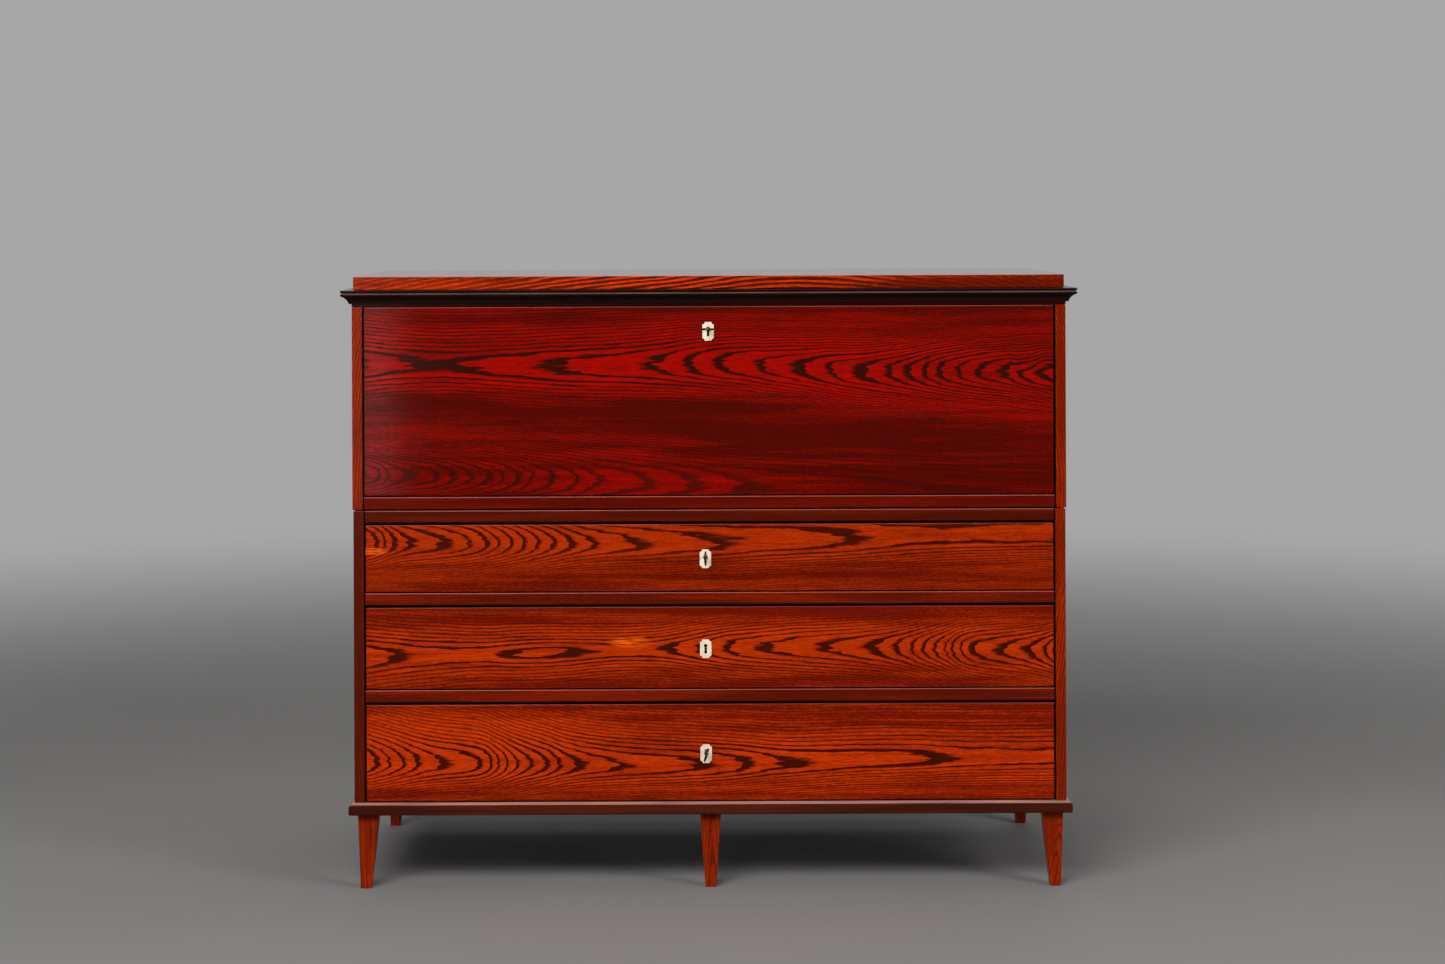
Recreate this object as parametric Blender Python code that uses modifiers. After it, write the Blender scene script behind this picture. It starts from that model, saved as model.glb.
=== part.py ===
# Fall front secretaire in red stained ash: an upper case whose wide front falls forward into a
# writing flap, over a lower case with three graduated drawers, on five tapered legs.
# Metres, +Z up, +X to the right as seen from the front, which faces -Y. The origin is on the
# floor under the middle of the whole piece.

import math

import bmesh
import bpy
from mathutils import Vector

for earlier in list(bpy.data.objects):
    bpy.data.objects.remove(earlier, do_unlink=True)

# Clearances
SEAT_GAP = 0.0003
CUT_OVERRUN = 0.004
ARRIS_ROUND = 0.0012

# Cases
LOWER_WIDTH = 1.187
CASE_STEP = 0.0015
CASE_DEPTH = 0.520
SIDE_THICKNESS = 0.018
BACK_THICKNESS = 0.008
RAIL_DEPTH = 0.060
DUST_THICKNESS = 0.010
HOUSING_DEPTH = 0.005

# Heights of what is stacked from the floor up
LEG_HEIGHT = 0.125
BASE_THICKNESS = 0.020
LOWER_RAIL_HEIGHT = 0.022
MIDDLE_RAIL_HEIGHT = 0.0215
LOWER_TOP_THICKNESS = 0.0215
CASE_JOINT_GAP = 0.0015
BOTTOM_RAIL_HEIGHT = 0.0212
FLAP_HEIGHT = 0.3155
FRIEZE_HEIGHT = 0.005
CORNICE_HEIGHT = 0.0225
TOP_THICKNESS = 0.022
LOW_DRAWER_HEIGHT = 0.1615
MIDDLE_DRAWER_HEIGHT = 0.1365
HIGH_DRAWER_HEIGHT = 0.1125
DRAWER_GAP = 0.0025
DRAWER_FOOT_GAP = 0.0011
FLAP_GAP = 0.0012
FLAP_FOOT_GAP = 0.0008

# Mouldings and the top board
CORNICE_PROJECTION = 0.0175
BASE_OVERHANG = 0.009
BASE_BEVEL_HEIGHT = 0.005
BASE_UNDER_ROUND = 0.0025
TOP_INSET = 0.0022
# The cornice section as shares of its projection and height: a small foot, a shallow cove, a
# bead, a groove and a rounded top fillet
CORNICE_FOOT_SHARES = [(0.24, 0), (0.28, 0.04), (0.28, 0.09)]
CORNICE_COVE_END_SHARES = (0.90, 0.56)
CORNICE_COVE_SAG_SHARE = 0.10
CORNICE_BEAD_RADIUS_SHARE = 0.11
CORNICE_BEAD_CENTRE_SHARE = 0.66
CORNICE_TOP_SHARES = [(0.88, 0.79), (0.88, 0.83), (0.97, 0.86), (1, 0.90), (1, 0.97), (0.96, 1)]

# Legs
LEG_WIDTH = 0.035
LEG_INSET = 0.005
LEG_OUTER_TAPER = 0.004
LEG_INNER_TAPER = 0.0133

# Drawers
DRAWER_SIDE_GAP = 0.0014
DRAWER_FRONT_THICKNESS = 0.022
DRAWER_SIDE_THICKNESS = 0.012
DRAWER_LENGTH = 0.495
DRAWER_SIDE_DROP = 0.006
DRAWER_BOTTOM_THICKNESS = 0.006
DRAWER_BOTTOM_HEIGHT = 0.009
GROOVE_DEPTH = 0.005
DOVETAIL_LAP = 0.006
DOVETAIL_PITCH = 0.036
DOVETAIL_SLOPE_SHARE = 1 / 6
TAIL_SHARE = 0.62

# Fall front, its pivots and stays
FLAP_THICKNESS = 0.022
FLAP_SIDE_GAP = 0.0018
FLAP_FOOT_ROUND = 0.003
FLAP_HOLLOW_SPACE = 0.0004
FLAP_REST_SPACE = 0.0008
PIVOT_RADIUS = 0.004
PIVOT_DEPTH = 0.012
PIVOT_COLLAR_RADIUS = 0.007
STAY_RADIUS = 0.200
STAY_WIDTH = 0.008
STAY_THICKNESS = 0.003
STAY_INSET = 0.008
STAY_FOOT_THICKNESS = 0.0025
STAY_FOOT_LENGTH = 0.050
STAY_FOOT_WIDTH = 0.018
STOP_PIN_RADIUS = 0.003
STOP_PIN_REACH = 0.005
STOP_THICKNESS = 0.004
STOP_HEIGHT = 0.026
STAY_CLEARANCE = 0.0015

# Locks, keys and escutcheons
ESCUTCHEON_WIDTH = 0.019
ESCUTCHEON_HEIGHT = 0.031
ESCUTCHEON_THICKNESS = 0.002
ESCUTCHEON_NOTCH = 0.004
ESCUTCHEON_HEIGHT_SHARE = 0.487
KEYHOLE_RISE = 0.005
KEYHOLE_RADIUS = 0.003
KEYHOLE_LENGTH = 0.016
KEYHOLE_NECK_WIDTH = 0.0035
KEYHOLE_FOOT_WIDTH = 0.0044
KEYHOLE_EASE = 0.0005
DRAWER_LOCK_X = -0.007
FLAP_LOCK_X = -0.001
FLAP_LOCK_BACKSET = 0.0367
LOCK_WIDTH = 0.060
LOCK_THICKNESS = 0.011
LOCK_WALL = 0.0015
LOCK_FOOT = 0.014
LOCK_SWEEP_SPACE = 0.001
BOLT_WIDTH = 0.024
BOLT_THROW = 0.008
BOLT_HEEL = 0.004
BOLT_ARM_X = 0.005
TALON_CLEARANCE = 0.0005
MORTISE_SPACE = 0.001
DRILL_PIN_RADIUS = 0.0012
DRILL_PIN_SETBACK = 0.004
KEY_REACH = 0.050
KEY_SHANK_RADIUS = 0.0026
KEY_BORE_RADIUS = 0.0017
KEY_BIT_RADIUS = 0.009
KEY_BIT_THICKNESS = 0.0024
KEY_BIT_LENGTH = 0.0065
KEY_COLLAR_RADIUS = 0.0036
KEY_COLLAR_LENGTH = 0.002
KEY_BOW_WIDTH = 0.024
KEY_BOW_LENGTH = 0.021
KEY_BOW_WIRE = 0.003
KEY_1_TURN = math.radians(0)
KEY_3_TURN = math.radians(17)
FLAP_KEY_TURN = math.radians(90)

# Interior behind the fall front
NEST_SETBACK = 0.165
NEST_SIDE_SPACE = 0.015
NEST_TOP_SPACE = 0.002
NEST_WALL = 0.008
NEST_BACK = 0.006
SIDE_BAY_SHARE = 0.275
SHELF_SHARE = 0.64
SMALL_DRAWER_ROOM = 0.060
SMALL_DRAWER_SPACE = 0.0008
SMALL_DRAWER_WALL = 0.006
SMALL_DRAWER_FRONT = 0.010
KNOB_RADIUS = 0.008
KNOB_LENGTH = 0.016
KNOB_PROFILE_SHARES = [(0, 1), (0.7, 0.95), (1, 0.7), (0.8, 0.45), (0.5, 0.3)]

# Levels and planes that follow from the sizes above
UPPER_WIDTH = LOWER_WIDTH + 2 * CASE_STEP
FRONT = (KEY_REACH - CASE_DEPTH) / 2
BACK = FRONT + CASE_DEPTH
BACK_INNER = BACK - BACK_THICKNESS
BASE_TOP = LEG_HEIGHT + BASE_THICKNESS
DRAWER_SPACE = DRAWER_GAP + DRAWER_FOOT_GAP
LOWER_RAIL_Z = BASE_TOP + LOW_DRAWER_HEIGHT + DRAWER_SPACE
MIDDLE_RAIL_Z = LOWER_RAIL_Z + LOWER_RAIL_HEIGHT + MIDDLE_DRAWER_HEIGHT + DRAWER_SPACE
LOWER_TOP_Z = MIDDLE_RAIL_Z + MIDDLE_RAIL_HEIGHT + HIGH_DRAWER_HEIGHT + DRAWER_SPACE
LOWER_CASE_TOP = LOWER_TOP_Z + LOWER_TOP_THICKNESS
UPPER_CASE_Z = LOWER_CASE_TOP + CASE_JOINT_GAP
BOTTOM_RAIL_TOP = UPPER_CASE_Z + BOTTOM_RAIL_HEIGHT
FLAP_Z = BOTTOM_RAIL_TOP + FLAP_FOOT_GAP
FLAP_TOP = FLAP_Z + FLAP_HEIGHT
CASE_TOP_Z = FLAP_TOP + FLAP_GAP
CORNICE_Z = CASE_TOP_Z + FRIEZE_HEIGHT
CASE_TOP_HEIGHT = FRIEZE_HEIGHT + CORNICE_HEIGHT
TOP_BOARD_Z = CASE_TOP_Z + CASE_TOP_HEIGHT + SEAT_GAP
LOWER_INNER = LOWER_WIDTH / 2 - SIDE_THICKNESS
UPPER_INNER = UPPER_WIDTH / 2 - SIDE_THICKNESS
PIVOT_Y = FRONT + FLAP_THICKNESS / 2
PIVOT_Z = FLAP_Z + FLAP_THICKNESS / 2
FLAP_BACK = FRONT + FLAP_THICKNESS
WRITING_Z = FLAP_Z + FLAP_THICKNESS

# Colour, roughness and metallic value of each finish
FINISHES = {
    "case_wood": ((0.20, 0.030, 0.014), 0.25, 0.0),
    "flap_wood": ((0.26, 0.018, 0.010), 0.22, 0.0),
    "drawer_wood": ((0.55, 0.085, 0.020), 0.22, 0.0),
    "leg_wood": ((0.42, 0.070, 0.018), 0.30, 0.0),
    "moulding_wood": ((0.060, 0.012, 0.010), 0.22, 0.0),
    "inner_wood": ((0.50, 0.34, 0.20), 0.55, 0.0),
    "nest_wood": ((0.45, 0.16, 0.05), 0.35, 0.0),
    "bone": ((0.80, 0.72, 0.52), 0.40, 0.0),
    "iron": ((0.30, 0.29, 0.27), 0.40, 1.0),
    "steel": ((0.55, 0.53, 0.50), 0.30, 1.0),
}

ALONG_X = (math.pi / 2, 0, math.pi / 2)
ALONG_Y = (math.pi / 2, 0, 0)

parts = bpy.data.collections.new("fall_front_secretaire")
cutters = bpy.data.collections.new("cutters")
bpy.context.scene.collection.children.link(parts)
bpy.context.scene.collection.children.link(cutters)


def place(name, mesh, location, finish=None, turn=(0, 0, 0)):
    """Puts a mesh in the scene as a part or, without a finish, as a tool for Boolean changes."""
    obj = bpy.data.objects.new(name, mesh)
    obj.location = location
    obj.rotation_euler = turn
    if finish is None:
        cutters.objects.link(obj)
        obj.hide_render = True
        obj.display_type = "WIRE"
        return obj
    parts.objects.link(obj)
    colour, roughness, metallic = FINISHES[finish]
    material = bpy.data.materials.new(name)
    material.use_nodes = True
    shader = material.node_tree.nodes["Principled BSDF"]
    shader.inputs["Base Color"].default_value = (*colour, 1)
    shader.inputs["Roughness"].default_value = roughness
    shader.inputs["Metallic"].default_value = metallic
    mesh.materials.append(material)
    return obj


def change(part, tool, operation="DIFFERENCE"):
    """Cuts a tool from a part, or joins it on."""
    step = part.modifiers.new(tool.name, "BOOLEAN")
    step.operation = operation
    step.object = tool


def round_edges(part, width=ARRIS_ROUND):
    """Takes the sharpness off a board's arrises, as a plane and sandpaper do."""
    step = part.modifiers.new("arris", "BEVEL")
    step.width = width
    step.segments = 2
    step.limit_method = "ANGLE"
    step.angle_limit = math.radians(50)


def block(name, x, y, z, finish=None):
    """A box between pairs of coordinates."""
    low = Vector((x[0], y[0], z[0]))
    high = Vector((x[1], y[1], z[1]))
    shape = bmesh.new()
    bmesh.ops.create_cube(shape, size=1)
    bmesh.ops.scale(shape, vec=high - low, verts=shape.verts)
    mesh = bpy.data.meshes.new(name)
    shape.to_mesh(mesh)
    shape.free()
    return place(name, mesh, (low + high) / 2, finish)


def board(name, x, y, z, finish):
    """A box with its arrises rounded."""
    part = block(name, x, y, z, finish)
    round_edges(part)
    return part


def slab_mesh(name, outline, thickness):
    """A flat outline in local X and Y, made thick along local Z about its plane."""
    curve = bpy.data.curves.new(name, "CURVE")
    curve.dimensions = "2D"
    curve.fill_mode = "BOTH"
    curve.extrude = thickness / 2
    line = curve.splines.new("POLY")
    line.points.add(len(outline) - 1)
    for point, (u, v) in zip(line.points, outline):
        point.co = (u, v, 0, 1)
    line.use_cyclic_u = True
    guide = bpy.data.objects.new(name, curve)
    cutters.objects.link(guide)
    depsgraph = bpy.context.evaluated_depsgraph_get()
    mesh = bpy.data.meshes.new_from_object(guide.evaluated_get(depsgraph))
    bpy.data.objects.remove(guide)
    shape = bmesh.new()
    shape.from_mesh(mesh)
    bmesh.ops.remove_doubles(shape, verts=shape.verts, dist=SEAT_GAP / 10)
    bmesh.ops.recalc_face_normals(shape, faces=shape.faces)
    shape.to_mesh(mesh)
    shape.free()
    return mesh


def slab(name, outline, thickness, location, turn, finish=None):
    return place(name, slab_mesh(name, outline, thickness), location, finish, turn)


def rod(name, radius, length, location, turn, finish=None, sides=16):
    """A round bar centred on its place, along its local Z."""
    shape = bmesh.new()
    bmesh.ops.create_cone(shape, cap_ends=True, segments=sides, radius1=radius, radius2=radius,
                          depth=length)
    mesh = bpy.data.meshes.new(name)
    shape.to_mesh(mesh)
    shape.free()
    return place(name, mesh, location, finish, turn)


def turned(name, profile, location, turn, finish=None, steps=16):
    """A profile of (radius, height) pairs, run down its outer side, turned about local Z."""
    mesh = bpy.data.meshes.new(name)
    points = [(radius, 0, height) for radius, height in profile]
    mesh.from_pydata(points, [(i, i + 1) for i in range(len(points) - 1)], [])
    part = place(name, mesh, location, finish, turn)
    spin = part.modifiers.new("turning", "SCREW")
    spin.steps = steps
    spin.render_steps = steps
    spin.use_merge_vertices = True
    spin.merge_threshold = SEAT_GAP / 10
    spin.use_smooth_shade = True
    return part


def arc(centre_u, centre_v, radius, start, end, steps):
    """Points along an arc, with its angles in degrees from local X towards local Y."""
    angles = [math.radians(start + (end - start) * i / steps) for i in range(steps + 1)]
    return [(centre_u + radius * math.cos(a), centre_v + radius * math.sin(a)) for a in angles]


def carry(name, location, earlier):
    """Hangs every object made since earlier on an empty at the place where the group moves."""
    carrier = bpy.data.objects.new(name, None)
    carrier.location = location
    bpy.context.scene.collection.objects.link(carrier)
    bpy.context.view_layer.update()
    for obj in set(bpy.data.objects) - earlier - {carrier}:
        obj.parent = carrier
        obj.matrix_parent_inverse = carrier.matrix_world.inverted()


def mirrored(sign, low, high):
    """A pair of X coordinates on the right side, or the same pair on the left one."""
    return (low, high) if sign > 0 else (-high, -low)


# Lower case

def lower_case():
    """Sides, top board, rails and dust boards of the chest of drawers, and its back."""
    x_inner = (SEAT_GAP - LOWER_INNER, LOWER_INNER - SEAT_GAP)
    y_deep = (FRONT, BACK_INNER - SEAT_GAP)
    rails = [("drawer_rail_1", "dust_board_1", MIDDLE_RAIL_Z, MIDDLE_RAIL_HEIGHT),
             ("drawer_rail_2", "dust_board_2", LOWER_RAIL_Z, LOWER_RAIL_HEIGHT)]
    for side, sign in (("left", -1), ("right", 1)):
        x = mirrored(sign, LOWER_INNER, LOWER_WIDTH / 2)
        z_side = (BASE_TOP + SEAT_GAP, LOWER_CASE_TOP)
        part = board("lower_side_" + side, x, (FRONT, BACK), z_side, "case_wood")
        for _, dust, z, height in rails:
            low = z + height - DUST_THICKNESS - SEAT_GAP
            x_groove = mirrored(sign, LOWER_INNER - CUT_OVERRUN, LOWER_INNER + HOUSING_DEPTH)
            y_groove = (FRONT + RAIL_DEPTH, BACK_INNER)
            groove = block(f"{dust}_housing_{side}", x_groove, y_groove, (low, z + height + SEAT_GAP))
            change(part, groove)
    for rail, dust, z, height in rails:
        x_dust = LOWER_INNER + HOUSING_DEPTH - SEAT_GAP
        y_dust = (FRONT + RAIL_DEPTH + SEAT_GAP, BACK_INNER - SEAT_GAP)
        board(rail, x_inner, (FRONT, FRONT + RAIL_DEPTH), (z, z + height), "case_wood")
        block(dust, (-x_dust, x_dust), y_dust, (z + height - DUST_THICKNESS, z + height), "inner_wood")
    board("lower_top_board", x_inner, y_deep, (LOWER_TOP_Z, LOWER_CASE_TOP), "case_wood")
    z_back = (BASE_TOP + SEAT_GAP, LOWER_CASE_TOP)
    block("lower_back_panel", x_inner, (BACK_INNER, BACK), z_back, "inner_wood")


def base_board():
    """The plate under the chest, wider than it in front and at the sides, with its top edge bevelled."""
    half = LOWER_WIDTH / 2 + BASE_OVERHANG
    y = (FRONT - BASE_OVERHANG, BACK)
    bevel_z = BASE_TOP - BASE_BEVEL_HEIGHT
    part = block("base_board", (-half, half), y, (LEG_HEIGHT, bevel_z), "moulding_wood")
    shape = bmesh.new()
    shape.from_mesh(part.data)
    top = max(shape.faces, key=lambda face: face.calc_center_median().z)
    raised = bmesh.ops.extrude_face_region(shape, geom=[top])["geom"]
    bmesh.ops.delete(shape, geom=[top], context="FACES")
    for vertex in [item for item in raised if isinstance(item, bmesh.types.BMVert)]:
        vertex.co.z += BASE_BEVEL_HEIGHT
        vertex.co.x -= math.copysign(BASE_OVERHANG, vertex.co.x)
        vertex.co.y += BASE_OVERHANG if vertex.co.y < 0 else 0
    bottom = min(vertex.co.z for vertex in shape.verts)
    under = [edge for edge in shape.edges if all(v.co.z < bottom + SEAT_GAP for v in edge.verts)
             and not all(v.co.y > 0 for v in edge.verts)]
    bmesh.ops.bevel(shape, geom=under, offset=BASE_UNDER_ROUND, segments=3, affect="EDGES", profile=0.5)
    shape.to_mesh(part.data)
    shape.free()


def leg(name, x_centre, left_taper, right_taper, front_taper, back_taper, y_centre):
    """A square leg whose faces run in towards the foot."""
    half = LEG_WIDTH / 2
    x = (x_centre - half, x_centre + half)
    y = (y_centre - half, y_centre + half)
    part = block(name, x, y, (0, LEG_HEIGHT - SEAT_GAP), "leg_wood")
    for vertex in part.data.vertices:
        if vertex.co.z < 0:
            vertex.co.x += left_taper if vertex.co.x < 0 else -right_taper
            vertex.co.y += front_taper if vertex.co.y < 0 else -back_taper
    round_edges(part)


def legs():
    x_outer = LOWER_WIDTH / 2 - LEG_INSET - LEG_WIDTH / 2
    y_front = FRONT + LEG_INSET + LEG_WIDTH / 2
    y_back = BACK - LEG_INSET - LEG_WIDTH / 2
    middle_taper = (LEG_OUTER_TAPER + LEG_INNER_TAPER) / 2
    for row, y in (("front", y_front), ("back", y_back)):
        tapers = (LEG_OUTER_TAPER, LEG_INNER_TAPER)
        if row == "back":
            tapers = (LEG_INNER_TAPER, LEG_OUTER_TAPER)
        leg(f"leg_{row}_left", -x_outer, LEG_OUTER_TAPER, LEG_INNER_TAPER, *tapers, y)
        leg(f"leg_{row}_right", x_outer, LEG_INNER_TAPER, LEG_OUTER_TAPER, *tapers, y)
    leg("leg_front_centre", 0, middle_taper, middle_taper, LEG_OUTER_TAPER, LEG_INNER_TAPER, y_front)


# Locks

def keyhole_outline(ease):
    """A round hole with a slot below it that widens towards its foot."""
    radius = KEYHOLE_RADIUS + ease
    neck = KEYHOLE_NECK_WIDTH / 2 + ease
    foot = KEYHOLE_FOOT_WIDTH / 2 + ease
    low = KEYHOLE_RADIUS - KEYHOLE_LENGTH - ease
    meet = math.degrees(math.acos(neck / radius))
    return [(foot, low)] + arc(0, 0, radius, -meet, 180 + meet, 12) + [(-foot, low)]


def escutcheon(name, x, z, front, wood):
    """An inlaid bone plate with hollow corners, let into the wood around the keyhole."""
    half_w = ESCUTCHEON_WIDTH / 2
    half_h = ESCUTCHEON_HEIGHT / 2
    notch = ESCUTCHEON_NOTCH
    outline = (arc(half_w, half_h, notch, 270, 180, 5) + arc(-half_w, half_h, notch, 360, 270, 5)
               + arc(-half_w, -half_h, notch, 90, 0, 5) + arc(half_w, -half_h, notch, 180, 90, 5))
    grow_w = (half_w + SEAT_GAP) / half_w
    grow_h = (half_h + SEAT_GAP) / half_h
    proud = SEAT_GAP
    y = front - proud + ESCUTCHEON_THICKNESS / 2
    place_at = (x, y, z - KEYHOLE_RISE)
    part = slab(name, outline, ESCUTCHEON_THICKNESS, place_at, ALONG_Y, "bone")
    hole_depth = ESCUTCHEON_THICKNESS + 2 * CUT_OVERRUN
    hole = slab(name + "_keyhole", keyhole_outline(0), hole_depth, (x, y, z), ALONG_Y)
    change(part, hole)
    wider = [(u * grow_w, v * grow_h) for u, v in outline]
    depth = ESCUTCHEON_THICKNESS + CUT_OVERRUN
    recess_y = front + ESCUTCHEON_THICKNESS - depth / 2
    recess = slab(name + "_recess", wider, depth, (x, recess_y, z - KEYHOLE_RISE), ALONG_Y)
    change(wood, recess)


def lock(lock_name, bolt_name, x, z, top, front, thickness, wood):
    """A lock case let into the inner face of a front, open at its top edge for the bolt."""
    y_low = front + thickness - LOCK_THICKNESS
    y_high = front + thickness
    low = z - LOCK_FOOT
    half = LOCK_WIDTH / 2
    mortise = block(lock_name + "_mortise", (x - half - SEAT_GAP, x + half + SEAT_GAP),
                    (y_low - SEAT_GAP, y_high + CUT_OVERRUN), (low - SEAT_GAP, top + CUT_OVERRUN))
    change(wood, mortise)
    case = block(lock_name, (x - half, x + half), (y_low, y_high), (low, top), "iron")
    room = BOLT_WIDTH / 2 + SEAT_GAP
    y_room = (y_low + LOCK_WALL, y_high - LOCK_WALL)
    z_room = (z - KEY_BIT_RADIUS - LOCK_SWEEP_SPACE, top + CUT_OVERRUN)
    change(case, block(lock_name + "_room", (x - room, x + room), y_room, z_room))
    pin_front = front + DRILL_PIN_SETBACK
    pin_back = y_high - LOCK_WALL / 2
    keyway_depth = y_low + LOCK_WALL + SEAT_GAP - (front - CUT_OVERRUN)
    keyway_y = front - CUT_OVERRUN + keyway_depth / 2
    keyway_outline = keyhole_outline(KEYHOLE_EASE)
    keyway = slab(lock_name + "_keyway", keyway_outline, keyway_depth, (x, keyway_y, z), ALONG_Y)
    change(case, keyway)
    change(wood, keyway)
    pin_at = (x, (pin_front + pin_back) / 2, z)
    pin = rod(lock_name + "_pin", DRILL_PIN_RADIUS, pin_back - pin_front, pin_at, ALONG_Y, sides=12)
    change(case, pin, "UNION")
    talon = BOLT_THROW - KEY_BIT_THICKNESS / 2 - TALON_CLEARANCE
    side = BOLT_WIDTH / 2
    bolt_top = top - SEAT_GAP - z
    outline = [(-side, BOLT_HEEL), (BOLT_ARM_X, BOLT_HEEL), (BOLT_ARM_X, -talon), (side, -talon),
               (side, bolt_top), (-side, bolt_top)]
    bolt_thickness = y_room[1] - y_room[0] - 2 * SEAT_GAP
    slab(bolt_name, outline, bolt_thickness, (x, sum(y_room) / 2, z), ALONG_Y, "iron")


def bolt_mortise(name, x, front, thickness, z, wood):
    """The slot in the rail above, which the bolt rises into."""
    y_high = front + thickness - LOCK_WALL
    y_low = front + thickness - LOCK_THICKNESS + LOCK_WALL
    half = BOLT_WIDTH / 2 + MORTISE_SPACE
    slot = block(name, (x - half, x + half), (y_low - MORTISE_SPACE, y_high + MORTISE_SPACE),
                 (z - CUT_OVERRUN, z + BOLT_THROW + MORTISE_SPACE))
    change(wood, slot)


def key(name, x, z, front, thickness, turn):
    """A hollow key over the drill pin: shank with a collar, bit inside the lock, oval bow outside."""
    inner_end = -(thickness - LOCK_WALL - 2 * SEAT_GAP)
    bore_end = -DRILL_PIN_SETBACK + SEAT_GAP * 2
    neck = KEY_REACH - KEY_BOW_LENGTH + KEY_BOW_WIRE / 2
    collar = neck - 3 * KEY_COLLAR_LENGTH
    profile = [(0, neck), (KEY_SHANK_RADIUS, neck), (KEY_SHANK_RADIUS, collar + KEY_COLLAR_LENGTH),
               (KEY_COLLAR_RADIUS, collar + KEY_COLLAR_LENGTH / 2), (KEY_SHANK_RADIUS, collar),
               (KEY_SHANK_RADIUS, inner_end), (KEY_BORE_RADIUS, inner_end), (KEY_BORE_RADIUS, bore_end),
               (0, bore_end)]
    spin = (math.pi / 2, turn, 0)
    part = turned(name, profile, (x, front, z), spin, "steel", steps=16)
    half_bit = KEY_BIT_THICKNESS / 2
    inner_radius = (KEY_SHANK_RADIUS + KEY_BORE_RADIUS) / 2
    bit_low = inner_end + SEAT_GAP
    bit_outline = [(-half_bit, -KEY_BIT_RADIUS), (half_bit, -KEY_BIT_RADIUS), (half_bit, -inner_radius),
                   (-half_bit, -inner_radius)]
    bit_mesh = slab_mesh(name + "_bit", bit_outline, KEY_BIT_LENGTH)
    for vertex in bit_mesh.vertices:
        vertex.co.z += bit_low + KEY_BIT_LENGTH / 2
    change(part, place(name + "_bit", bit_mesh, (x, front, z), None, spin), "UNION")
    wire = KEY_BOW_WIRE / 2
    bpy.ops.mesh.primitive_torus_add(major_segments=20, minor_segments=8,
                                     major_radius=KEY_BOW_WIDTH / 2 - wire, minor_radius=wire)
    ring = bpy.context.object
    mesh = ring.data
    bpy.data.objects.remove(ring)
    squeeze = KEY_BOW_LENGTH / KEY_BOW_WIDTH
    for vertex in mesh.vertices:
        across, along, thick = vertex.co
        vertex.co = (thick, across, KEY_REACH - KEY_BOW_LENGTH / 2 + along * squeeze)
    shape = bmesh.new()
    shape.from_mesh(mesh)
    bmesh.ops.recalc_face_normals(shape, faces=shape.faces)
    shape.to_mesh(mesh)
    shape.free()
    change(part, place(name + "_bow", mesh, (x, front, z), None, spin), "UNION")


# Drawers

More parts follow.
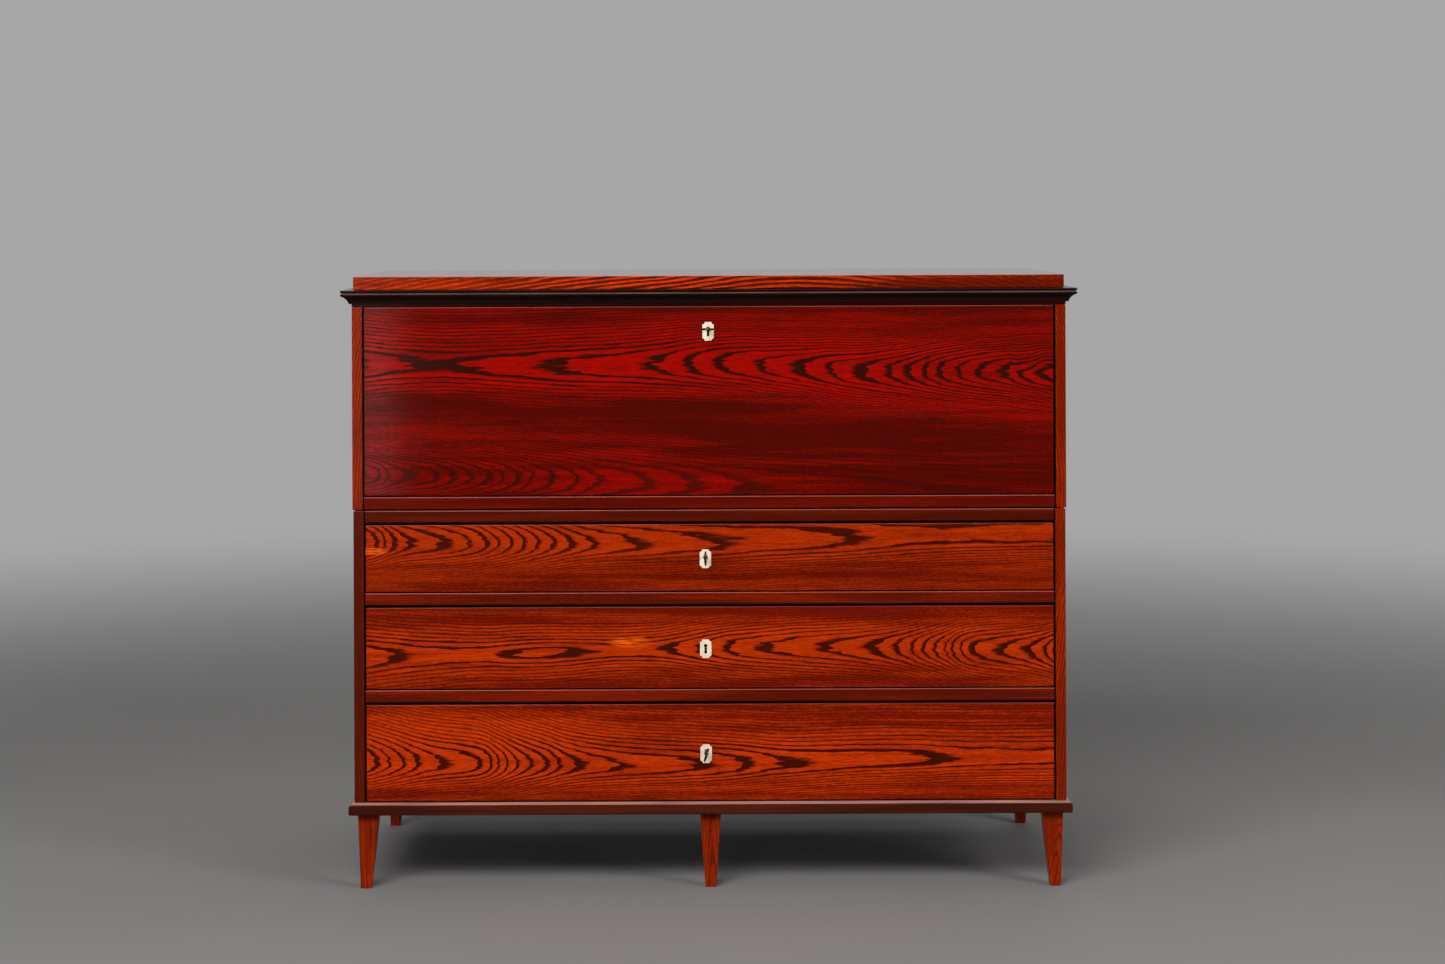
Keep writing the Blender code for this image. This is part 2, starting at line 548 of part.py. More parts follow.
def drawer(number, floor, height, above, key_turn):
    """A drawer: front with lapped dovetails, box of sides and back, bottom, lock and escutcheon."""
    earlier = set(bpy.data.objects)
    half = LOWER_INNER - DRAWER_SIDE_GAP
    low = floor + DRAWER_FOOT_GAP
    top = low + height
    y_front = (FRONT, FRONT + DRAWER_FRONT_THICKNESS)
    front = board(f"drawer_{number}_front", (-half, half), y_front, (low, top), "drawer_wood")

    box_low = floor + SEAT_GAP
    box_top = top - DRAWER_SIDE_DROP
    tip = FRONT + DOVETAIL_LAP
    base = FRONT + DRAWER_FRONT_THICKNESS
    end = FRONT + DRAWER_LENGTH
    inner = half - DRAWER_SIDE_THICKNESS
    box = block(f"drawer_{number}_box", (-half, half), (tip, end), (box_low, box_top), "inner_wood")
    hollow = block(f"drawer_{number}_hollow", (-inner, inner),
                   (tip - CUT_OVERRUN, end - DRAWER_SIDE_THICKNESS),
                   (box_low - CUT_OVERRUN, box_top + CUT_OVERRUN))
    change(box, hollow)

    count = max(2, round((box_top - low) / DOVETAIL_PITCH))
    pitch = (box_top - low) / count
    reach = pitch * TAIL_SHARE / 2

    def tail_half(y):
        return reach + (base - y) * DOVETAIL_SLOPE_SHARE - (base - tip) * DOVETAIL_SLOPE_SHARE / 2

    centres = [low + pitch * (i + 1 / 2) for i in range(count)]
    far = tip - SEAT_GAP
    out = base + CUT_OVERRUN
    socket = [(far, tail_half(far) + SEAT_GAP), (out, tail_half(out) + SEAT_GAP),
              (out, -tail_half(out) - SEAT_GAP), (far, -tail_half(far) - SEAT_GAP)]
    socket_depth = DRAWER_SIDE_THICKNESS + SEAT_GAP + CUT_OVERRUN
    for i, centre in enumerate(centres):
        for side, sign in (("left", -1), ("right", 1)):
            name = f"drawer_{number}_socket_{side}_{i}"
            place_at = (sign * (half + CUT_OVERRUN - socket_depth / 2), 0, centre)
            change(front, slab(name, socket, socket_depth, place_at, ALONG_X))
    near = tip - CUT_OVERRUN
    shoulder = base + SEAT_GAP
    for i in range(count + 1):
        below = centres[i - 1] if i else None
        above_tail = centres[i] if i < count else None
        low_near = below + tail_half(near) if i else box_low - CUT_OVERRUN
        low_far = below + tail_half(shoulder) if i else box_low - CUT_OVERRUN
        high_near = above_tail - tail_half(near) if i < count else box_top + CUT_OVERRUN
        high_far = above_tail - tail_half(shoulder) if i < count else box_top + CUT_OVERRUN
        gap = [(near, low_near), (shoulder, low_far), (shoulder, high_far), (near, high_near)]
        change(box, slab(f"drawer_{number}_pin_{i}", gap, 2 * (half + CUT_OVERRUN), (0, 0, 0), ALONG_X))

    panel_z = (floor + DRAWER_BOTTOM_HEIGHT, floor + DRAWER_BOTTOM_HEIGHT + DRAWER_BOTTOM_THICKNESS)
    panel_half = inner + GROOVE_DEPTH - SEAT_GAP
    panel_y = (base - GROOVE_DEPTH + SEAT_GAP, end)
    block(f"drawer_{number}_bottom", (-panel_half, panel_half), panel_y, panel_z, "inner_wood")
    groove_half = panel_half + SEAT_GAP
    groove = block(f"drawer_{number}_groove", (-groove_half, groove_half),
                   (base - GROOVE_DEPTH, end + CUT_OVERRUN), (panel_z[0] - SEAT_GAP, panel_z[1] + SEAT_GAP))
    change(box, groove)
    change(front, groove)
    under = block(f"drawer_{number}_under", (-inner, inner),
                  (end - DRAWER_SIDE_THICKNESS - CUT_OVERRUN, end + CUT_OVERRUN),
                  (box_low - CUT_OVERRUN, panel_z[0]))
    change(box, under)

    x = DRAWER_LOCK_X
    z = low + height * ESCUTCHEON_HEIGHT_SHARE + KEYHOLE_RISE
    escutcheon(f"escutcheon_{number}", x, z, FRONT, front)
    lock(f"lock_{number}", f"bolt_{number}", x, z, top, FRONT, DRAWER_FRONT_THICKNESS, front)
    bolt_mortise(f"bolt_{number}_mortise", x, FRONT, DRAWER_FRONT_THICKNESS, top + DRAWER_GAP, above)
    if key_turn is not None:
        key(f"key_{number}", x, z, FRONT, DRAWER_FRONT_THICKNESS, key_turn)
    carry(f"drawer_{number}", (0, FRONT, floor), earlier)


def drawers():
    rails = bpy.data.objects
    drawer(1, MIDDLE_RAIL_Z + MIDDLE_RAIL_HEIGHT, HIGH_DRAWER_HEIGHT, rails["lower_top_board"], KEY_1_TURN)
    drawer(2, LOWER_RAIL_Z + LOWER_RAIL_HEIGHT, MIDDLE_DRAWER_HEIGHT, rails["drawer_rail_1"], None)
    drawer(3, BASE_TOP, LOW_DRAWER_HEIGHT, rails["drawer_rail_2"], KEY_3_TURN)


# Upper case

def upper_case():
    """Sides, floor, bottom rail, case top and back of the upper case. It stands on its floor board."""
    x_inner = (SEAT_GAP - UPPER_INNER, UPPER_INNER - SEAT_GAP)
    z_tall = (UPPER_CASE_Z, CASE_TOP_Z - SEAT_GAP)
    half = UPPER_WIDTH / 2
    for side, sign in (("left", -1), ("right", 1)):
        x = mirrored(sign, UPPER_INNER, half)
        part = board("upper_side_" + side, x, (FRONT, BACK), z_tall, "case_wood")
        bore_depth = PIVOT_DEPTH + SEAT_GAP + CUT_OVERRUN
        bore_at = (sign * (UPPER_INNER - CUT_OVERRUN + bore_depth / 2), PIVOT_Y, PIVOT_Z)
        change(part, rod("pivot_bore_" + side, PIVOT_RADIUS + SEAT_GAP, bore_depth, bore_at, ALONG_X))
    rail_y = (FRONT, FRONT + RAIL_DEPTH)
    rail = board("upper_bottom_rail", x_inner, rail_y, (UPPER_CASE_Z, BOTTOM_RAIL_TOP), "case_wood")
    foot = FLAP_THICKNESS / 2 - FLAP_FOOT_ROUND
    hollow_radius = math.hypot(foot, foot) + FLAP_FOOT_ROUND + FLAP_HOLLOW_SPACE
    hollow_at = (0, PIVOT_Y, PIVOT_Z)
    change(rail, rod("flap_hollow", hollow_radius, UPPER_WIDTH, hollow_at, ALONG_X, sides=48))
    floor_y = (FRONT + RAIL_DEPTH + SEAT_GAP, BACK_INNER - SEAT_GAP)
    floor_z = (LOWER_CASE_TOP + SEAT_GAP, BOTTOM_RAIL_TOP)
    floor = block("upper_floor_board", x_inner, floor_y, floor_z, "inner_wood")
    block("upper_back_panel", x_inner, (BACK_INNER, BACK), z_tall, "inner_wood")
    case_top_z = (CASE_TOP_Z, CASE_TOP_Z + CASE_TOP_HEIGHT)
    case_top = block("upper_case_top", (-half, half), (FRONT, BACK), case_top_z, "case_wood")
    lightening = block("case_top_relief", (RAIL_DEPTH - half, half - RAIL_DEPTH),
                       (FRONT + RAIL_DEPTH, BACK - RAIL_DEPTH),
                       (CASE_TOP_Z + CASE_TOP_HEIGHT / 2, CASE_TOP_Z + CASE_TOP_HEIGHT + CUT_OVERRUN))
    change(case_top, lightening)
    bolt_mortise("flap_bolt_mortise", FLAP_LOCK_X, FRONT, FLAP_THICKNESS, CASE_TOP_Z, case_top)
    x_top = half - TOP_INSET
    top_z = (TOP_BOARD_Z, TOP_BOARD_Z + TOP_THICKNESS)
    board("top_board", (-x_top, x_top), (FRONT + TOP_INSET, BACK), top_z, "drawer_wood")
    return floor


def bowed(start, end, sag_share, steps):
    """Points after start up to end, on a shallow curve that bows to the left of the way there."""
    run_u = end[0] - start[0]
    run_v = end[1] - start[1]
    points = []
    for i in range(1, steps + 1):
        share = i / steps
        bow = 4 * sag_share * share * (1 - share)
        points.append((start[0] + run_u * share - run_v * bow, start[1] + run_v * share + run_u * bow))
    return points


def cornice_profile():
    """The moulding's section as (projection, height) from its lower to its upper back corner."""
    def scaled(shares):
        return [(CORNICE_PROJECTION * u, CORNICE_HEIGHT * v) for u, v in shares]

    foot = scaled(CORNICE_FOOT_SHARES)
    cove_end = scaled([CORNICE_COVE_END_SHARES])[0]
    cove = bowed(foot[-1], cove_end, CORNICE_COVE_SAG_SHARE, 5)
    radius = CORNICE_HEIGHT * CORNICE_BEAD_RADIUS_SHARE
    bead = arc(CORNICE_PROJECTION - radius, CORNICE_HEIGHT * CORNICE_BEAD_CENTRE_SHARE, radius, -60, 80, 5)
    return [(SEAT_GAP, 0)] + foot + cove + bead + scaled(CORNICE_TOP_SHARES) + [(SEAT_GAP, CORNICE_HEIGHT)]


def cornice():
    """Three lengths of the moulding, mitred at the front corners."""
    half = UPPER_WIDTH / 2
    section = cornice_profile()
    front_outline = [(-projection, height) for projection, height in section]
    part = slab("cornice_front", front_outline, 2 * half, (0, FRONT, CORNICE_Z), ALONG_X, "moulding_wood")
    for vertex in part.data.vertices:
        reach = -vertex.co.x - SEAT_GAP
        vertex.co.z += math.copysign(reach, vertex.co.z)
    for side, sign in (("left", -1), ("right", 1)):
        outline = [(sign * projection, height) for projection, height in section]
        centre = (sign * half, (FRONT + BACK) / 2, CORNICE_Z)
        part = slab("cornice_" + side, outline, CASE_DEPTH, centre, ALONG_Y, "moulding_wood")
        for vertex in part.data.vertices:
            if vertex.co.z > 0:
                vertex.co.z += abs(vertex.co.x) - SEAT_GAP


# Fall front

def fall_front():
    """The writing flap, its foot rounded about its pivots, with its lock, key and stays."""
    earlier = set(bpy.data.objects)
    half = UPPER_INNER - FLAP_SIDE_GAP
    radius = FLAP_THICKNESS / 2
    top = FLAP_HEIGHT - radius
    corner = radius - FLAP_FOOT_ROUND
    outline = [(radius, top), (-radius, top)] + arc(-corner, -corner, FLAP_FOOT_ROUND, 180, 270, 4)
    outline += arc(0, 0, radius, 270, 360, 8)
    flap = slab("fall_front", outline, 2 * half, (0, PIVOT_Y, PIVOT_Z), ALONG_X, "flap_wood")
    round_edges(flap)
    z = FLAP_TOP - FLAP_LOCK_BACKSET
    for side, sign in (("left", -1), ("right", 1)):
        depth = PIVOT_DEPTH + SEAT_GAP + CUT_OVERRUN
        bore_at = (sign * (half + CUT_OVERRUN - depth / 2), PIVOT_Y, PIVOT_Z)
        change(flap, rod("flap_bore_" + side, PIVOT_RADIUS + SEAT_GAP, depth, bore_at, ALONG_X))
        stay(side, sign)
    escutcheon("flap_escutcheon", FLAP_LOCK_X, z, FRONT, flap)
    lock("flap_lock", "flap_bolt", FLAP_LOCK_X, z, FLAP_TOP, FRONT, FLAP_THICKNESS, flap)
    key("flap_key", FLAP_LOCK_X, z, FRONT, FLAP_THICKNESS, FLAP_KEY_TURN)
    carry("flap_pivot", (0, PIVOT_Y, PIVOT_Z), earlier)


def stop_plane():
    """How far behind the pivot axis the rear face of the stop blocks lies."""
    return FLAP_THICKNESS / 2 + SEAT_GAP + STOP_THICKNESS


def stay_end():
    """Angle of the stop pin behind the upright through the pivot while the flap is shut."""
    return math.pi / 2 + math.asin((stop_plane() + SEAT_GAP + STOP_PIN_RADIUS) / STAY_RADIUS)


def stay(side, sign):
    """A quarter round iron bar on the flap's inner face, with a pin near its tail as its stop."""
    x_outer = UPPER_INNER - STAY_INSET
    x = sign * (x_outer - STAY_THICKNESS / 2)
    foot_y = FLAP_THICKNESS / 2 + SEAT_GAP
    start = math.degrees(math.asin((foot_y + STAY_FOOT_THICKNESS / 2) / STAY_RADIUS))
    tail = math.degrees(stay_end() + STOP_PIN_RADIUS / STAY_RADIUS)
    wide = STAY_WIDTH / 2
    outline = (arc(0, 0, STAY_RADIUS + wide, 90 - start, 90 - tail, 18)
               + arc(0, 0, STAY_RADIUS - wide, 90 - tail, 90 - start, 18))
    bar = slab("stay_" + side, outline, STAY_THICKNESS, (x, PIVOT_Y, PIVOT_Z), ALONG_X, "iron")
    foot_x = mirrored(sign, x_outer - STAY_FOOT_WIDTH, x_outer - STAY_THICKNESS / 2)
    foot_middle = PIVOT_Z + STAY_RADIUS
    foot_z = (foot_middle - STAY_FOOT_LENGTH / 2, foot_middle + STAY_FOOT_LENGTH / 2)
    foot_y_pair = (PIVOT_Y + foot_y, PIVOT_Y + foot_y + STAY_FOOT_THICKNESS)
    change(bar, block("stay_foot_" + side, foot_x, foot_y_pair, foot_z), "UNION")
    pin_y = PIVOT_Y + STAY_RADIUS * math.sin(stay_end())
    pin_z = PIVOT_Z + STAY_RADIUS * math.cos(stay_end())
    pin_length = STOP_PIN_REACH + STAY_THICKNESS / 2
    pin_x = sign * (x_outer + STOP_PIN_REACH - pin_length / 2)
    pin = rod("stay_pin_" + side, STOP_PIN_RADIUS, pin_length, (pin_x, pin_y, pin_z), ALONG_X, sides=12)
    change(bar, pin, "UNION")


def pivots_and_stops(floor):
    """Pins that the flap turns on, and the blocks on the case sides that the stays come up against."""
    gap_middle = UPPER_INNER - FLAP_SIDE_GAP / 2
    collar = FLAP_SIDE_GAP / 2 - SEAT_GAP
    reach = FLAP_SIDE_GAP / 2 + PIVOT_DEPTH
    profile = [(0, reach), (PIVOT_RADIUS, reach), (PIVOT_RADIUS, collar), (PIVOT_COLLAR_RADIUS, collar),
               (PIVOT_COLLAR_RADIUS, -collar), (PIVOT_RADIUS, -collar), (PIVOT_RADIUS, -reach), (0, -reach)]
    for side, sign in (("left", -1), ("right", 1)):
        turned("pivot_" + side, profile, (sign * gap_middle, PIVOT_Y, PIVOT_Z), ALONG_X, "iron")
        x = mirrored(sign, UPPER_INNER - STAY_INSET + STAY_CLEARANCE, UPPER_INNER - SEAT_GAP)
        y = (FLAP_BACK + SEAT_GAP, PIVOT_Y + stop_plane())
        z = PIVOT_Z + STAY_RADIUS
        block("stay_stop_" + side, x, y, (z - STOP_HEIGHT / 2, z + STOP_HEIGHT / 2), "iron")
        tail_drop = stop_plane() + 2 * STOP_PIN_RADIUS + STAY_WIDTH / 2 + STAY_CLEARANCE
        pocket_y = PIVOT_Y + STAY_RADIUS
        reach_y = STAY_WIDTH / 2 + 2 * STAY_CLEARANCE
        pocket_x = mirrored(sign, UPPER_INNER - STAY_INSET - STAY_THICKNESS - STAY_CLEARANCE,
                            UPPER_INNER - STAY_INSET + STOP_PIN_REACH + STAY_CLEARANCE)
        pocket = block("stay_pocket_" + side, pocket_x, (pocket_y - reach_y, pocket_y + reach_y),
                       (PIVOT_Z - tail_drop, BOTTOM_RAIL_TOP + CUT_OVERRUN))
        change(floor, pocket)


# Interior

def nest():
    """Writing board with pigeonholes, an open middle and rooms for four small drawers."""
    half = UPPER_INNER - NEST_SIDE_SPACE
    y_low = FLAP_BACK + FLAP_REST_SPACE
    y_high = BACK_INNER - SEAT_GAP
    face = FLAP_BACK + NEST_SETBACK
    bottom = BOTTOM_RAIL_TOP + SEAT_GAP
    top = CASE_TOP_Z - NEST_TOP_SPACE
    part = block("interior_nest", (-half, half), (y_low, y_high), (bottom, top), "nest_wood")
    over_board = block("nest_open_front", (-half - CUT_OVERRUN, half + CUT_OVERRUN),
                       (y_low - CUT_OVERRUN, face), (WRITING_Z, top + CUT_OVERRUN))
    change(part, over_board)
    y_room = (face - CUT_OVERRUN, y_high - NEST_BACK)
    bay = 2 * half * SIDE_BAY_SHARE
    ceiling = top - NEST_WALL
    bay_inner = half - bay
    shelf_z = WRITING_Z + (ceiling - WRITING_Z) * SHELF_SHARE
    x_middle = (NEST_WALL / 2 - bay_inner, bay_inner - NEST_WALL / 2)
    change(part, block("nest_middle", x_middle, y_room, (WRITING_Z, shelf_z)))
    change(part, block("nest_over_shelf", x_middle, y_room, (shelf_z + NEST_WALL, ceiling)))
    for side, sign in (("left", -1), ("right", 1)):
        x_low = bay_inner + NEST_WALL / 2
        x_high = half - NEST_WALL
        x_split = (x_low + x_high) / 2
        z = WRITING_Z
        for row in ("bottom", "top"):
            change(part, block(f"nest_room_{side}_{row}", mirrored(sign, x_low, x_high), y_room,
                               (z, z + SMALL_DRAWER_ROOM)))
            small_drawer(f"small_drawer_{side}_{row}", sign, x_low, x_high, face, y_room[1], z)
            z += SMALL_DRAWER_ROOM + NEST_WALL
        for place_name, low, high in (("inner", x_low, x_split - NEST_WALL / 2),
                                      ("outer", x_split + NEST_WALL / 2, x_high)):
            x_hole = mirrored(sign, low, high)
            change(part, block(f"pigeonhole_{side}_{place_name}", x_hole, y_room, (z, ceiling)))


def small_drawer(name, sign, x_low, x_high, face, back, z):
    """A little drawer with a turned knob."""
    earlier = set(bpy.data.objects)
    x = mirrored(sign, x_low + SMALL_DRAWER_SPACE, x_high - SMALL_DRAWER_SPACE)
    y = (face + SEAT_GAP, back - SMALL_DRAWER_SPACE)
    top = z + SMALL_DRAWER_ROOM - SMALL_DRAWER_SPACE
    part = block(name, x, y, (z + SEAT_GAP, top), "nest_wood")
    inside = block(name + "_inside", (x[0] + SMALL_DRAWER_WALL, x[1] - SMALL_DRAWER_WALL),
                   (y[0] + SMALL_DRAWER_FRONT, y[1] - SMALL_DRAWER_WALL),
                   (z + SEAT_GAP + SMALL_DRAWER_WALL, top + CUT_OVERRUN))
    change(part, inside)
    neck = KNOB_RADIUS * KNOB_PROFILE_SHARES[-1][0]
    root = -SMALL_DRAWER_FRONT / 2
    profile = [(KNOB_RADIUS * r, KNOB_LENGTH * h) for r, h in KNOB_PROFILE_SHARES] + [(neck, root), (0, root)]
    knob_at = ((x[0] + x[1]) / 2, y[0], (z + top) / 2)
    change(part, turned(name + "_knob", profile, knob_at, ALONG_Y, steps=12), "UNION")
    carry(name + "_slide", (knob_at[0], y[0], z), earlier)


lower_case()
base_board()
legs()
drawers()
upper_floor = upper_case()
cornice()
fall_front()
pivots_and_stops(upper_floor)
nest()
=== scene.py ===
import math

import bpy
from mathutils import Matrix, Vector


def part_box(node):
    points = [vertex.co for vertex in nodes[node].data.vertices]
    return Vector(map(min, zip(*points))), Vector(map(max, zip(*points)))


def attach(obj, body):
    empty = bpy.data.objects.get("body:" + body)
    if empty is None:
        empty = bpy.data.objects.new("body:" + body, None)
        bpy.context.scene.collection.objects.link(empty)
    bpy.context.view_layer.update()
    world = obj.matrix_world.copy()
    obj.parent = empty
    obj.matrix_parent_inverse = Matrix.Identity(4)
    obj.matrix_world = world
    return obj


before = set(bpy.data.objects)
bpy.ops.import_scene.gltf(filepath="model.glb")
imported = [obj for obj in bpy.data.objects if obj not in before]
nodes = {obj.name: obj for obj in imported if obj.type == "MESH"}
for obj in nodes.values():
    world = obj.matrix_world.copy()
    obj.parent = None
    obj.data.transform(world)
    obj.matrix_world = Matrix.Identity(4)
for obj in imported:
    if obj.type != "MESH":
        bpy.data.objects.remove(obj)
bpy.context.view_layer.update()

# Camera: a short telephoto held level at chest height, a little left of the middle, with the
# lens shifted down as on a view camera so that the uprights stay upright.
lens = bpy.data.cameras.new("camera")
lens.sensor_width = 36
lens.lens = 70.55
lens.shift_x = 0.0277
lens.shift_y = -0.1872
camera = bpy.data.objects.new("camera", lens)
camera.location = (-0.0428, -4.9547, 1.1285)
camera.rotation_euler = (math.pi / 2, 0.0041, 0)
bpy.context.scene.collection.objects.link(camera)
bpy.context.scene.camera = camera
bpy.context.scene.view_settings.view_transform = "Standard"


# Studio: a pale room that is dim behind the camera, so that the polish stays clear, with soft boxes and
# a plain floor that runs out into the room's own colour. The narrow panel on the left is the one that
# shows as a veil in the polish of the flap.
ROOM_COLOUR = (0.385, 0.385, 0.388)
room = bpy.data.worlds.new("room")
bpy.context.scene.world = room
room.use_nodes = True
room.node_tree.nodes["Background"].inputs["Color"].default_value = (*ROOM_COLOUR, 1)


def room_maths(operation, first, second, third=0.0):
    made = room.node_tree.nodes.new("ShaderNodeMath")
    made.operation = operation
    made.use_clamp = True
    for socket, value in zip(made.inputs, (first, second, third)):
        if isinstance(value, float):
            socket.default_value = value
        else:
            room.node_tree.links.new(value, socket)
    return made.outputs[0]


ROOM_GLOW = 0.18
way = room.node_tree.nodes.new("ShaderNodeTexCoord")
parts = room.node_tree.nodes.new("ShaderNodeSeparateXYZ")
rays = room.node_tree.nodes.new("ShaderNodeLightPath")
room.node_tree.links.new(way.outputs["Generated"], parts.inputs[0])
behind_camera = room_maths("MULTIPLY_ADD", parts.outputs["Y"], 1.5, 1.45)
dim = room_maths("MULTIPLY_ADD", behind_camera, 0.87, 0.13)
straight = room_maths("ADD", rays.outputs["Is Camera Ray"], rays.outputs["Is Glossy Ray"])
straight = room_maths("ADD", straight, rays.outputs["Is Transmission Ray"])
strength = room_maths("MULTIPLY", dim, room_maths("MULTIPLY_ADD", straight, 1.0 - ROOM_GLOW, ROOM_GLOW))
room.node_tree.links.new(strength, room.node_tree.nodes["Background"].inputs["Strength"])


def soft_box(name, place, aim, width, height, power):
    box = bpy.data.lights.new(name, "AREA")
    box.shape = "RECTANGLE"
    box.size = width
    box.size_y = height
    box.energy = power
    lamp = bpy.data.objects.new(name, box)
    lamp.location = place
    lamp.rotation_euler = (Vector(aim) - Vector(place)).to_track_quat("-Z", "Y").to_euler()
    bpy.context.scene.collection.objects.link(lamp)


soft_box("soft_box_front", (-1.4, -3.6, 3.3), (0, 0, 0.55), 3.0, 1.6, 174)
soft_box("soft_box_right", (3.4, -2.8, 2.2), (0, 0, 0.5), 1.6, 2.2, 80)
soft_box("soft_box_back", (0.6, 2.4, 3.2), (0, 0.3, 0.6), 2.6, 1.2, 13)
soft_box("soft_box_top", (0.0, 0.0, 3.6), (0, 0, 0.9), 2.4, 1.2, 18)
soft_box("soft_box_left_panel", (-1.33, -5.1, 1.4), (-1.33, 0, 1.4), 0.62, 2.6, 14)

FLOOR_REACH = 14.0
floor_mesh = bpy.data.meshes.new("floor")
corners = [(across * FLOOR_REACH, inward * FLOOR_REACH, 0)
           for across, inward in ((-1, -1), (1, -1), (1, 1), (-1, 1))]
floor_mesh.from_pydata(corners, [], [(0, 1, 2, 3)])
floor = bpy.data.objects.new("floor", floor_mesh)
bpy.context.scene.collection.objects.link(floor)


# Fall front: one wide board of ash, stained crimson and polished. Two hearts run through it, a band
# of long flames under its top third and nested arches at its lower left, with close dark rings
# between them. The words for building finishes are defined here, where they are first needed.
class Amount:
    """A number that a material works out over the surface."""

    def __init__(self, finish, socket):
        self.finish = finish
        self.socket = socket

    def maths(self, operation, first, second=0.0):
        return self.finish.node("ShaderNodeMath", {"operation": operation}, {0: first, 1: second})

    def __add__(self, other):
        return self.maths("ADD", self, other)

    def __sub__(self, other):
        return self.maths("SUBTRACT", self, other)

    def __mul__(self, other):
        return self.maths("MULTIPLY", self, other)

    def __truediv__(self, other):
        return self.maths("DIVIDE", self, other)

    def __pow__(self, other):
        return self.maths("POWER", self, other)

    def __rsub__(self, other):
        return self.maths("SUBTRACT", other, self)

    def __abs__(self):
        return self.maths("ABSOLUTE", self)

    def __mod__(self, other):
        return self.maths("FLOORED_MODULO", self, other)

    def __gt__(self, other):
        return self.maths("GREATER_THAN", self, other)

    def __lt__(self, other):
        return self.maths("LESS_THAN", self, other)

    __radd__ = __add__
    __rmul__ = __mul__


class Finish:
    """A material under way: its nodes, its place on the piece and its surface shader."""

    def __init__(self, name):
        self.material = bpy.data.materials.new(name)
        self.material.use_nodes = True
        self.tree = self.material.node_tree
        self.shader = self.tree.nodes["Principled BSDF"]
        self.place = self.node("ShaderNodeTexCoord", output="Object")
        self.x = self.node("ShaderNodeSeparateXYZ", {}, {0: self.place}, "X")
        self.y, self.z = [Amount(self, self.x.socket.node.outputs[axis]) for axis in "YZ"]

    def node(self, kind, settings=None, sockets=None, output=0):
        made = self.tree.nodes.new(kind)
        for setting, value in (settings or {}).items():
            if setting == "curve":
                line = made.mapping.curves[0]
                line.points[0].location = value[0]
                line.points[1].location = value[-1]
                for point in value[1:-1]:
                    line.points.new(*point)
                made.mapping.update()
            else:
                setattr(made, setting, value)
        for key, value in (sockets or {}).items():
            if isinstance(value, Amount):
                self.tree.links.new(value.socket, made.inputs[key])
            else:
                made.inputs[key].default_value = value
        return Amount(self, made.outputs[output])

    def noise(self, scales, detail=2.0, seed=0.0):
        """Soft noise from 0 to 1 whose grains are 1/scales metres long on each axis."""
        spot = self.node("ShaderNodeVectorMath", {"operation": "MULTIPLY_ADD"},
                         {0: self.place, 1: scales, 2: (seed, seed * 0.7, seed * 1.3)})
        return self.node("ShaderNodeTexNoise", {"noise_dimensions": "3D"},
                         {"Vector": spot, "Scale": 1.0, "Detail": detail, "Roughness": 0.5}, "Fac")

    def between(self, value, low, high, first=0.0, last=1.0):
        """Runs smoothly from first to last as value goes from low to high."""
        return self.node("ShaderNodeMapRange", {"interpolation_type": "SMOOTHSTEP"},
                         {"Value": value, "From Min": low, "From Max": high, "To Min": first,
                          "To Max": last}, "Result")

    def along(self, value, points, low, high):
        """A smooth line through (place, amount) points, over the places from low to high."""
        amounts = [amount for _, amount in points]
        least, most = min(amounts), max(amounts)
        spread = (most - least) or 1.0
        share = (value - low) * (1 / (high - low))
        curve = [((place - low) / (high - low), (amount - least) / spread) for place, amount in points]
        return self.node("ShaderNodeFloatCurve", {"curve": curve},
                         {"Factor": 1.0, "Value": share}) * spread + least

    def blend(self, share, first, second):
        """A colour between two, by share."""
        first, second = [one if isinstance(one, Amount) else (*one, 1) for one in (first, second)]
        return self.node("ShaderNodeMix", {"data_type": "RGBA"}, {0: share, 6: first, 7: second}, 2)

    def spot(self, x, z, reach_x, reach_z):
        """A share that is 1 at a place on the front and fades out within the reach."""
        aside = (self.x - x) * (1 / reach_x)
        apart = (self.z - z) * (1 / reach_z)
        return self.between(aside * aside + apart * apart, 0.0, 1.0, 1.0, 0.0)

    def surface(self, colour, roughness, normal=None, **constants):
        """Puts what was worked out on the surface shader, and the plain numbers on its sockets."""
        for name, value in (("Base Color", colour), ("Roughness", roughness), ("Normal", normal)):
            if isinstance(value, Amount):
                self.tree.links.new(value.socket, self.shader.inputs[name])
            elif value is not None:
                self.shader.inputs[name].default_value = (*value, 1) if name == "Base Color" else value
        for name, value in constants.items():
            label = name.replace("_", " ").title().replace("Ior", "IOR")
            self.shader.inputs[label].default_value = value
        return self.material

    def paint_over(self, share, colour):
        """Lays one more colour over what the surface shader already has, by share."""
        socket = self.shader.inputs["Base Color"]
        under = Amount(self, socket.links[0].from_socket)
        self.tree.links.new(self.blend(share, under, colour).socket, socket)

    def grooves(self, height, depth):
        """A normal for grooves and pores: height from 0 to 1, depth in metres."""
        return self.node("ShaderNodeBump", {}, {"Strength": 1.0, "Distance": depth, "Height": height})


def by_grain(grain, along, across):
    """Noise scales that are long along the grain."""
    return tuple(along if axis == grain else across for axis in "xyz")


BOARD_REACH = (-0.62, 0.62)


